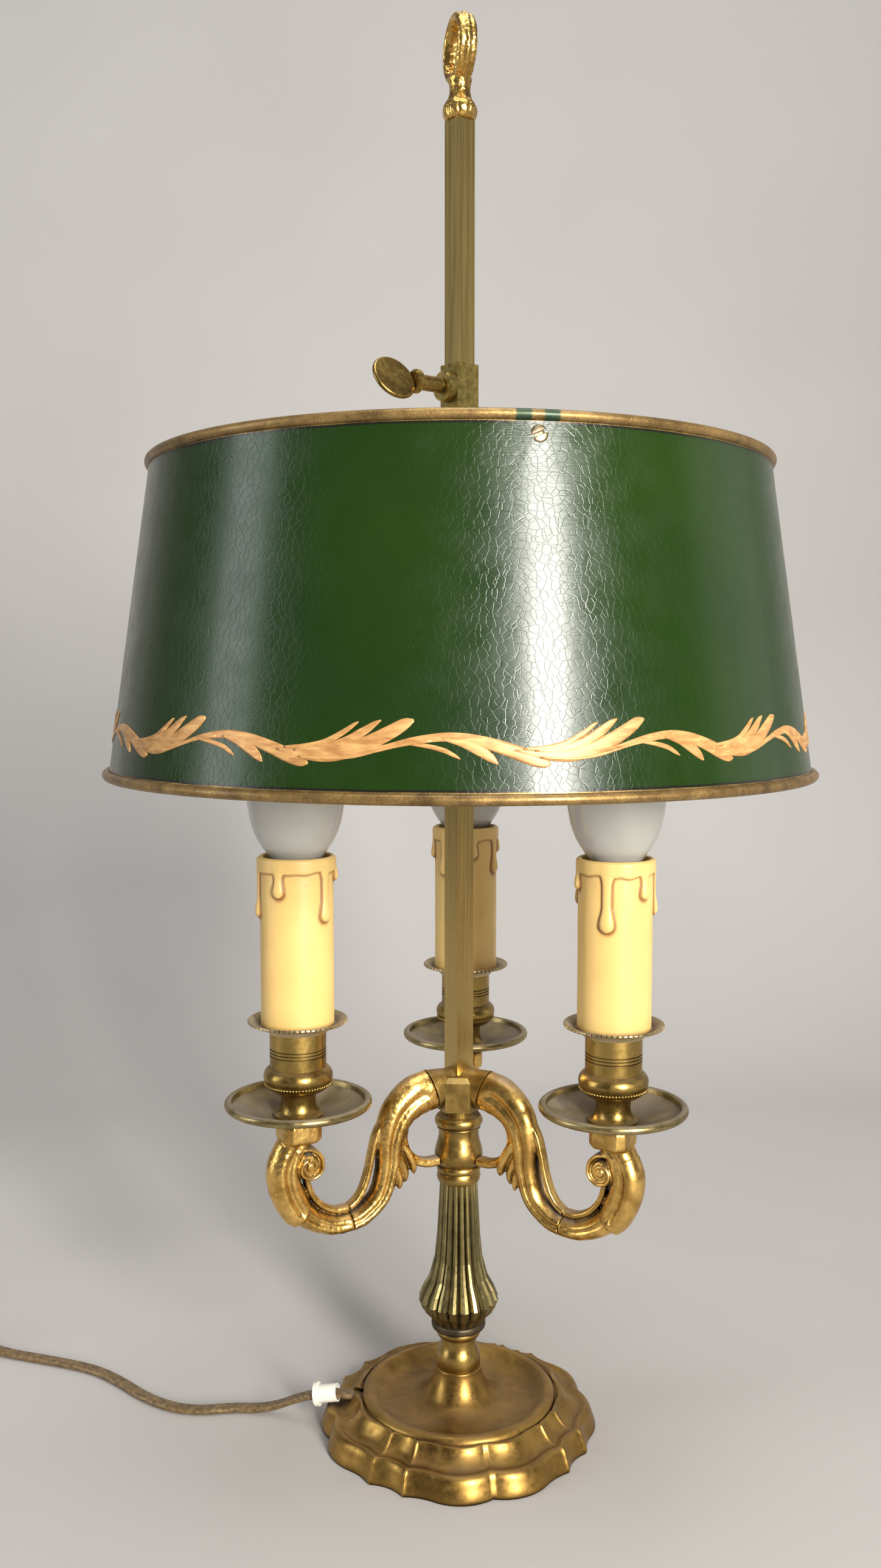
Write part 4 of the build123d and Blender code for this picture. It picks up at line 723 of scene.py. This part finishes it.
def candle_sleeve(side, angle):
    cx, cy = (ARM_REACH * c for c in polar(1, angle))
    segments = 240
    heights = [CANDLE_Z, CANDLE_Z + 0.5, 190.0, 200.0, 205.0]
    heights += [205.3 + 0.32 * k for k in range(91)]
    rows, stains = [], []
    for height in heights:
        row = []
        for i in range(segments):
            turn = 360 * i / segments
            down = CANDLE_TOP - height
            lump, stain = wax_height(DRIPS[side], turn, down, len(side))
            stains.append(stain)
            lump += 0.05 * noise.noise(Vector((turn / 14.0, height / 9.0, len(side))))
            r = CANDLE_R + lump
            if down < 1.0:
                r -= 0.55 * (1 - down) ** 2
            a = math.radians(turn - 90)
            row.append((cx + r * MM * math.cos(a), cy + r * MM * math.sin(a), height * MM))
        rows.append(row)
    for r, height in ((CANDLE_R - 0.1, CANDLE_TOP + 0.15), (CANDLE_R - 0.95, CANDLE_TOP),
                      (CANDLE_R - 1.0, CANDLE_TOP - 0.6), (CANDLE_R - 1.0, CANDLE_Z)):
        rows.append([(cx + r * MM * math.cos(2 * math.pi * i / segments - math.pi / 2),
                      cy + r * MM * math.sin(2 * math.pi * i / segments - math.pi / 2),
                      height * MM) for i in range(segments)])
    obj = grid(f"candle_sleeve_{side}", rows, closed_v=True)
    stains += [0.0] * (len(obj.data.vertices) - len(stains))
    obj.data.attributes.new("stain", "FLOAT", "POINT").data.foreach_set("value", stains)
    finish_piece(obj, "lamp", wax, (f"candle_tube_{side}",))


for side, angle in ARM_ANGLES.items():
    candle_sleeve(side, angle)

# ---- cast arms -------------------------------------------------------------------------

ARM_Z = 139.4
INNER_LIMB = ((12.4, 0.0, 0.95, -0.31, 8.1, 5.7), (20.0, -2.0, 0.88, -0.47, 8.0, 5.8),
              (27.0, -8.2, 0.45, -0.89, 7.2, 5.6), (30.3, -17.4, 0.10, -1.0, 5.6, 5.3),
              (31.2, -27.9, 0.12, -0.99, 4.8, 5.0), (34.6, -38.4, 0.55, -0.83, 4.4, 4.9),
              (41.5, -44.6, 0.88, -0.47, 4.1, 4.8), (46.7, -46.4, 0.98, -0.17, 3.8, 4.8))
OUTER_LIMB = ((47.0, -46.4, 0.98, -0.12, 3.8, 4.8), (54.5, -46.2, 0.97, 0.25, 3.9, 4.8),
              (63.5, -41.9, 0.78, 0.62, 4.4, 5.0), (70.6, -33.4, 0.45, 0.89, 5.2, 5.3),
              (73.6, -23.4, 0.05, 1.0, 5.6, 5.6), (71.6, -15.8, -0.45, 0.89, 5.6, 5.8),
              (67.2, -10.0, 0.0, 1.0, 6.6, 6.2))
SHEATH = ((66.6, -40.4, 0.72, 0.69, 5.5, 5.5), (69.2, -36.9, 0.58, 0.81, 6.1, 6.0),
          (72.6, -29.5, 0.28, 0.96, 6.3, 6.2), (73.6, -22.0, 0.0, 1.0, 6.3, 6.2),
          (71.8, -16.0, -0.40, 0.92, 5.9, 6.0))
RIBBON_INNER = ((33.6, -10.2), (36.0, -14.6), (37.6, -20.5), (39.4, -28.6), (41.6, -34.6),
                (44.2, -38.4), (47.5, -40.8))
RIBBON_OUTER = ((47.9, -40.9), (53.2, -40.8), (58.8, -37.8), (62.9, -32.6), (64.9, -26.0))
TENDRIL = ((14.4, -6.6), (19.4, -8.2), (23.4, -11.6), (24.9, -16.8), (23.4, -22.6),
           (19.6, -26.9), (14.6, -28.8), (9.4, -28.8))
VOLUTE = (64.3, -21.0)
SPIRAL = ((48, 8.4), (80, 6.7), (110, 5.9), (150, 5.3), (200, 5.0), (250, 4.8), (300, 4.4),
          (345, 3.8), (390, 3.1), (430, 2.6))
LEAF_FINGERS = (((29.4, -13.5), (25.4, -19.5), (21.6, -26.5), (20.8, -31.8), 3.0, -2.6),
                ((30.0, -16.5), (27.4, -23.0), (24.4, -30.0), (24.0, -35.4), 2.9, 0.2),
                ((31.0, -19.5), (29.6, -25.5), (27.4, -31.5), (27.2, -36.6), 2.6, 2.8))


class Solid:
    """Closed shells in the arm's plane: distance from the stem, across it, height."""

    def __init__(self):
        self.verts, self.faces = [], []

    def rings(self, rings):
        add_shell(self.verts, self.faces, rings)

    def limb(self, rows, groove=0.24, relief=0.0, count=120, around=72, start=0.0):
        rings = []
        spots = path_points(rows, count)
        length = 0.0
        for j, (rho, height, ax, az, depth, width) in enumerate(spots):
            size = math.hypot(ax, az)
            ax, az = ax / size, az / size
            if j:
                length += math.hypot(rho - spots[j - 1][0], height - spots[j - 1][1])
            ring = []
            cut = groove * smooth((length - start) / 4.0)
            for i in range(around):
                angle = 2 * math.pi * i / around
                c, s = math.cos(angle), math.sin(angle)
                inward, out = c * depth, s * width
                out *= 1 - cut * math.exp(-((c - 0.05) / 0.20) ** 2)
                if relief:
                    lobe = math.exp(-((c + 0.52) / 0.34) ** 2)
                    wave = abs(math.sin(math.pi * (length / 5.0 - 0.95 * c))) ** 0.5
                    out += math.copysign(relief * lobe * (1.3 * wave - 0.85), s)
                    inward -= 0.5 * relief * max(0.0, -c) ** 3 * (wave - 0.6)
                # in-plane normal is to the left of the run: (-az, ax)
                ring.append((rho + -az * inward, out, ARM_Z + height + ax * inward))
            rings.append(ring)
        self.rings(rings)

    def strip(self, points, width, thickness, count=40, taper=0.0, across=0.0):
        spots = path_points(points, count)
        rings = []
        for j, (rho, height) in enumerate(spots):
            tx, tz = heading(spots, j)
            scale = 1 - taper * j / (count - 1)
            ring = []
            for i in range(24):
                angle = 2 * math.pi * i / 24
                c, s = math.cos(angle), math.sin(angle)
                u = math.copysign(abs(c) ** 0.6, c) * thickness / 2 * scale
                v = math.copysign(abs(s) ** 0.6, s) * width / 2 * scale
                ring.append((rho - tz * u, across + v, ARM_Z + height + tx * u))
            rings.append(ring)
        self.rings(rings)

    def finger(self, points, radius, lean):
        spots = path_points(points, 24)
        rings = []
        for j, (rho, height) in enumerate(spots):
            t = j / 23
            tx, tz = heading(spots, j)
            r = radius * (0.55 + 0.6 * math.sin(math.pi * min(1.0, 0.15 + 0.80 * t)))
            if t > 0.8:
                r *= math.sqrt(max(0.03, 1 - ((t - 0.8) / 0.2) ** 2))
            ring = []
            for i in range(20):
                angle = 2 * math.pi * i / 20
                c, s = math.cos(angle), math.sin(angle)
                ring.append((rho - tz * r * 0.62 * c, lean * t + r * s, ARM_Z + height + tx * r * 0.62 * c))
            rings.append(ring)
        self.rings(rings)

    def disc(self, centre, radius, half):
        rings = []
        for k in range(-6, 7):
            y = half * k / 6
            r = radius * (1.0 if abs(k) < 5 else (0.93 if abs(k) == 5 else 0.72))
            rings.append([(centre[0] + r * math.cos(2 * math.pi * i / 32), -y,
                           ARM_Z + centre[1] + r * math.sin(2 * math.pi * i / 32))
                          for i in range(32)])
        self.rings(rings)

    def block(self, rho, low, high, half, corner):
        outline = [(half, half - corner), (half - corner, half), (corner - half, half),
                   (-half, half - corner), (-half, corner - half), (corner - half, -half),
                   (half - corner, -half), (half, corner - half)]
        rings = []
        for z, size in ((low, 0.90), (low + 0.8, 0.98), (low + 1.4, 1.0), (high - 1.6, 1.0),
                        (high - 0.7, 0.97), (high - 0.05, 0.90)):
            rings.append([(rho + x * size, y * size, z) for x, y in reversed(outline)])
        self.rings(rings)

    def cast(self, name, voxel, smoothing, grain, grain_size, angle, material, nodes):
        """One casting: the shells are joined, softened and grained."""
        rough_mesh = mesh_object(name + "_shells", [(x * MM, y * MM, z * MM) for x, y, z in self.verts],
                                 self.faces)
        remesh = rough_mesh.modifiers.new("remesh", "REMESH")
        remesh.mode = "VOXEL"
        remesh.voxel_size = voxel * MM
        remesh.use_smooth_shade = True
        data = applied(rough_mesh)
        bpy.data.objects.remove(rough_mesh)
        bm = bmesh.new()
        bm.from_mesh(data)
        for _ in range(smoothing):
            bmesh.ops.smooth_vert(bm, verts=bm.verts, factor=0.5, use_axis_x=True,
                                  use_axis_y=True, use_axis_z=True)
        bm.normal_update()
        if grain:
            moves = []
            for v in bm.verts:
                p = v.co * (1000.0 / grain_size)
                moves.append(v.normal * (grain * MM * (noise.noise(p) + 0.5 * noise.noise(p * 2.3))))
            for v, move in zip(bm.verts, moves):
                v.co += move
        bmesh.ops.rotate(bm, verts=bm.verts, cent=(0, 0, 0),
                         matrix=Matrix.Rotation(math.radians(angle), 3, "Z"))
        bm.to_mesh(data)
        bm.free()
        data.name = name
        finish_piece(linked(name, shaded_smooth(data)), "lamp", material, nodes)


def arm_pieces(side, angle):
    carved = side != "right"
    inner = Solid()
    inner.limb(INNER_LIMB, relief=0.75 if carved else 0.0, start=1.5)
    inner.strip(RIBBON_INNER, 4.8, 2.5)
    inner.strip(TENDRIL, 5.6, 3.6)
    for *points, radius, lean in LEAF_FINGERS:
        inner.finger(points, radius, lean)
        inner.finger(points, radius * 0.8, -lean * 0.9)
    inner.cast(f"arm_inner_cast_{side}", 0.34, 2, 0.09 if carved else 0.04,
               1.5 if carved else 2.4, angle, gilt, (f"arm_inner_{side}",))
    outer = Solid()
    outer.limb(OUTER_LIMB, relief=0.7 if carved else 0.0, groove=0.16)
    outer.limb(SHEATH, relief=0.55 if carved else 0.0, groove=0.30, count=80)
    outer.strip(RIBBON_OUTER, 4.8, 2.5)
    outer.disc(VOLUTE, 4.6, 4.3)
    outer.strip([(VOLUTE[0] + polar(r, a)[0], VOLUTE[1] + polar(r, a)[1]) for a, r in SPIRAL],
                11.0, 1.8, count=90)
    outer.disc(VOLUTE, 1.75, 5.5)
    outer.block(67.2, 127.8, 135.7, 7.4, 2.6)
    outer.cast(f"arm_outer_cast_{side}", 0.34, 2, 0.08 if carved else 0.04,
               1.4 if carved else 2.4, angle, gilt, (f"arm_outer_{side}",))


for side, angle in ARM_ANGLES.items():
    arm_pieces(side, angle)

# ---- base ------------------------------------------------------------------------------

BASE_R, BASE_TURN = 55.0, 13.6
OUTLINE = ((0.0, 0.949), (14.4, 1.0), (24.0, 0.972), (30.5, 0.955), (37.0, 0.978), (45.0, 0.938))
TIERS = ((0.4, 0.0), (0.0, 0.9), (0.35, 2.6), (1.3, 5.2), (2.2, 7.6), (3.3, 8.9), (4.4, 9.25),
         (5.6, 8.95), (6.7, 8.7), (8.2, 9.0), (9.8, 10.0), (11.6, 11.9), (12.7, 13.5),
         (13.4, 14.4), (14.4, 14.5))


def three_point(a, b, c, angle):
    """The parabola through three marks."""
    (x0, y0), (x1, y1), (x2, y2) = a, b, c
    return (y0 * (angle - x1) * (angle - x2) / ((x0 - x1) * (x0 - x2))
            + y1 * (angle - x0) * (angle - x2) / ((x1 - x0) * (x1 - x2))
            + y2 * (angle - x0) * (angle - x1) / ((x2 - x0) * (x2 - x1)))


def lobe_share(angle):
    angle = angle % 90.0
    angle = min(angle, 90.0 - angle)
    cusp, lobe, shoulder, hollow, corner, facet = OUTLINE
    if angle < shoulder[0]:
        return three_point(cusp, lobe, shoulder, angle)
    if angle < corner[0]:
        return three_point(shoulder, hollow, corner, angle)
    return three_point(corner, facet, (90.0 - corner[0], corner[1]), angle)


def crease(angle):
    """1 on the raised lines that run up the tiers at the cusps and beside the corner facets."""
    angle = angle % 90.0
    angle = min(angle, 90.0 - angle)
    return max(math.exp(-(angle / 0.75) ** 2), 0.8 * math.exp(-((angle - 37.0) / 0.7) ** 2))


def cast_base():
    segments = 720
    foot = [(9.0, 25.0), (9.35, 23.0), (10.2, 20.4), (11.75, 17.2), (14.3, 14.2), (17.4, 12.55),
            (20.8, 11.85), (24.2, 11.6)]
    centre = [(4.1, 25.0), (8.6, 25.0)]
    centre += path_points(foot, 4 * (len(foot) - 1) + 1)
    centre += [(26.0, 11.65), (28.2, 12.0), (30.2, 12.7),
              (31.8, 13.6), (32.9, 14.55), (33.15, 14.75), (33.5, 14.9), (34.1, 15.45),
              (34.9, 15.85), (35.9, 16.0), (36.9, 15.8), (37.8, 15.2), (38.4, 14.4), (38.7, 13.7),
              (38.95, 13.5), (39.15, 13.7)]
    rows = []
    for radius, height in centre:
        rows.append([(radius, height, 0.0)] * segments)
    for inset, height in reversed(path_points(TIERS, 65)):
        row = []
        for i in range(segments):
            angle = 360.0 * i / segments
            radius = max(39.25, (BASE_R - inset) * lobe_share(angle))
            line = crease(angle) * smooth((14.0 - inset) / 1.5) * smooth(height / 2.0)
            row.append((radius + 0.30 * line, height + 0.22 * line, 1.0))
        rows.append(row)
    for radius, height in ((47.4, 0.0), (47.0, 4.8), (42.9, 5.6), (39.6, 7.4), (37.4, 10.8),
                           (34.0, 10.8), (30.8, 8.7), (4.1, 8.7)):
        rows.append([(radius, height, 0.0)] * segments)
    points = []
    for row in rows:
        ring = []
        for i, (radius, height, _) in enumerate(row):
            x, y = polar(radius * MM, BASE_TURN + 360.0 * i / segments)
            ring.append((x, y, height * MM))
        points.append(ring)
    obj = grid("base_cast", points, closed_v=True)
    # the cord's hole through the cove
    start, end = Vector((-33.0, -1.0, 9.9)) * MM, Vector((-45.3, -0.9, 13.9)) * MM
    bm = bmesh.new()
    run = (end - start).normalized()
    place = Matrix.Translation(start + run * 0.011) @ run.to_track_quat("Z", "Y").to_matrix().to_4x4()
    bmesh.ops.create_cone(bm, cap_ends=True, segments=32, radius1=3.1 * MM, radius2=3.1 * MM,
                          depth=0.022, matrix=place)
    cutter_data = bpy.data.meshes.new("cutter")
    bm.to_mesh(cutter_data)
    bm.free()
    cutter = linked("cutter", cutter_data)
    cut = obj.modifiers.new("hole", "BOOLEAN")
    cut.operation = "DIFFERENCE"
    cut.solver = "EXACT"
    cut.object = cutter
    data = applied(obj)
    obj.modifiers.clear()
    obj.data = data
    bpy.data.objects.remove(cutter)
    finish_piece(obj, "lamp", base_brass, ("base_casting", "stem_foot"))


cast_base()

# ---- finial ----------------------------------------------------------------------------


def cast_finial():
    """Knop with leaves, neck and a ribbed carrying loop."""
    solid = Solid()
    rings = []
    profile = [(2.4, 500.6), (2.4, 506.0), (4.9, 506.1), (5.7, 506.6), (6.2, 507.8), (6.4, 509.3),
               (6.25, 510.8), (5.6, 512.1), (4.9, 513.0), (4.7, 513.6), (4.3, 514.2), (4.0, 515.6),
               (3.9, 517.2), (4.1, 519.0), (4.5, 520.3), (4.4, 521.2), (3.6, 522.0)]
    for radius, height in profile:
        leaf = math.exp(-((height - 509.4) / 2.6) ** 2)
        ring = []
        for i in range(96):
            a = 2 * math.pi * i / 96
            r = radius + leaf * (0.45 * abs(math.cos(4.5 * a)) ** 0.7 - 0.25)
            ring.append((r * math.cos(a), -r * math.sin(a), height))
        rings.append(ring)
    solid.rings(rings)
    first, n, around = len(solid.verts), 160, 40
    for j in range(n):
        turn = 2 * math.pi * j / n
        for i in range(around):
            a = 2 * math.pi * i / around
            u, v = 1.7 * math.cos(a), 3.7 * math.sin(a)
            if math.cos(a) > 0:
                u += 0.22 * math.cos(2.6 * math.pi * math.sin(a)) * math.cos(a)
            else:
                u -= 0.12 * math.cos(14 * turn) * abs(math.cos(a))
            r = 10.5 + u
            solid.verts.append((r * math.cos(turn), v, 531.9 + r * math.sin(turn)))
    for j in range(n):
        for i in range(around):
            a, b = first + j * around + i, first + j * around + (i + 1) % around
            c = first + ((j + 1) % n) * around
            solid.faces.append((a, c + i, c + (i + 1) % around, b))
    solid.cast("finial_cast", 0.3, 1, 0.17, 1.15, -75.0, gilt, ("finial",))


cast_finial()

# ---- bead rows on the cups -------------------------------------------------------------


def bead_row(name, centre, radius, height, count, size):
    bm = bmesh.new()
    for i in range(count):
        a = 2 * math.pi * i / count
        place = Matrix.Translation((centre[0] + radius * MM * math.cos(a),
                                    centre[1] + radius * MM * math.sin(a), height * MM))
        bmesh.ops.create_icosphere(bm, subdivisions=2, radius=size * MM, matrix=place)
    data = bpy.data.meshes.new(name)
    bm.to_mesh(data)
    bm.free()
    return linked(name, shaded_smooth(data))


CUP_Z = 136.9
for side, angle in ARM_ANGLES.items():
    centre = tuple(ARM_REACH * c for c in polar(1, angle))
    finish_piece(bead_row(f"cup_beads_{side}", centre, 12.15, CUP_Z + 12.9, 66, 0.55), "lamp",
                 antique)

# ---- shade screws ----------------------------------------------------------------------


SCREWS = ((-79.0, 25.0), (41.0, -40.0), (161.0, 70.0))     # place and turn of the slot, degrees
SCREW_Z = 371.7
SLOT_HALF, SLOT_FLOOR = 0.55, 0.25


def shade_screws():
    """Pan heads with a slot, set square to the shade."""
    verts, faces = [], []
    for world, slot in SCREWS:
        z0 = SCREW_Z
        r0 = shade_radius(z0)
        lean = math.atan2(SHADE_LOW[0] - SHADE_HIGH[0], SHADE_HIGH[1] - SHADE_LOW[1])
        c, s = math.cos(math.radians(world)), math.sin(math.radians(world))
        out = Vector((c * math.cos(lean), s * math.cos(lean), math.sin(lean)))
        right = Vector((-s, c, 0))
        up = Vector((0, 0, 1)) - out * out.z
        up.normalize()
        origin = Vector((c * r0, s * r0, z0))
        first, n = len(verts), 48
        profile = [(1.4, -7.0), (1.4, -0.1), (2.72, 0.0), (2.78, 0.35), (2.7, 0.75), (2.4, 1.15)]
        profile += [(2.4 - 0.2 * k, 1.15 + 0.38 * (1 - (1 - k / 12) ** 2)) for k in range(1, 12)]
        for radius, height in profile:
            for i in range(n):
                a = 2 * math.pi * i / n
                x, y = radius * math.cos(a), radius * math.sin(a)
                t = math.radians(slot)
                off = abs(-x * math.sin(t) + y * math.cos(t))
                h = height
                if height > 0.5 and off < SLOT_HALF:
                    h = SLOT_FLOOR
                p = origin + right * x + up * y + out * h
                verts.append(tuple(p * MM))
        rings = len(profile)
        for j in range(rings - 1):
            for i in range(n):
                a, b = first + j * n + i, first + j * n + (i + 1) % n
                faces.append((a, b, b + n, a + n))
        faces.append(tuple(first + i for i in reversed(range(n))))
        faces.append(tuple(first + (rings - 1) * n + i for i in range(n)))
    obj = mesh_object("shade_screw_set", verts, faces)
    finish_piece(obj, "shade_carrier", bright, ("shade_screws",))


shade_screws()

# ---- stage and light -------------------------------------------------------------------


def stage_material():
    n = Nodes("stage")
    n.set("Base Color", n.blend(n.ramp(n.noise(3.0, 2.0), 0.3, 0.7), (0.46, 0.44, 0.425),
                                (0.50, 0.48, 0.465)))
    n.shader.inputs["Roughness"].default_value = 0.75
    n.shader.inputs["Specular IOR Level"].default_value = 0.2
    # From behind, the camera looks through the wall at the back of the lamp.
    camera_ray = n.node("ShaderNodeLightPath").outputs["Is Camera Ray"]
    mixed = n.node("ShaderNodeMixShader")
    n.link(n.math("MULTIPLY", n.geometry.outputs["Backfacing"], camera_ray), mixed.inputs[0])
    n.link(n.shader.outputs[0], mixed.inputs[1])
    n.link(n.node("ShaderNodeBsdfTransparent").outputs[0], mixed.inputs[2])
    n.link(mixed.outputs[0], n.out.inputs[0])
    return n.material


def sweep_backdrop():
    """Floor that curves up into a wall behind the lamp."""
    rows = []
    wall, bend = 0.75, 0.35
    profile = [(-2.2, 0.0), (wall - bend, 0.0)]
    profile += [(wall - bend + bend * math.sin(a), bend - bend * math.cos(a))
                for a in (math.pi / 2 * i / 24 for i in range(1, 25))]
    profile += [(wall, 2.6)]
    for y, z in profile:
        rows.append([(x, y, z) for x in (-2.4, 2.4)])
    obj = grid("stage", rows, closed_u=False)
    obj.data.materials.append(stage_material())


sweep_backdrop()


def area_light(name, place, target, size, power, colour=(1, 1, 1), spread=180.0):
    data = bpy.data.lights.new(name, "AREA")
    data.shape = "RECTANGLE"
    data.size, data.size_y = size
    data.energy = power
    data.color = colour
    data.spread = math.radians(spread)
    obj = linked(name, data)
    obj.location = place
    obj.rotation_euler = (Vector(target) - Vector(place)).to_track_quat("-Z", "Y").to_euler()


area_light("key", (0.62, -1.25, 0.62), (0, 0, 0.28), (0.26, 0.75), 10.5, (1.0, 0.965, 0.91),
           spread=95.0)
area_light("side", (-1.35, -0.35, 0.6), (0, 0, 0.3), (0.4, 1.1), 6.0, (0.93, 0.97, 1.0))
area_light("right", (1.45, 0.25, 0.5), (0, 0, 0.3), (0.9, 1.2), 2.0, (1.0, 0.97, 0.92))
area_light("top", (0.15, -0.15, 1.8), (0, 0, 0.2), (1.0, 1.0), 13.0)

world = bpy.data.worlds.new("world")
world.use_nodes = True
world.node_tree.nodes["Background"].inputs[0].default_value = (0.74, 0.75, 0.77, 1)
world.node_tree.nodes["Background"].inputs[1].default_value = 0.19
scene.world = world
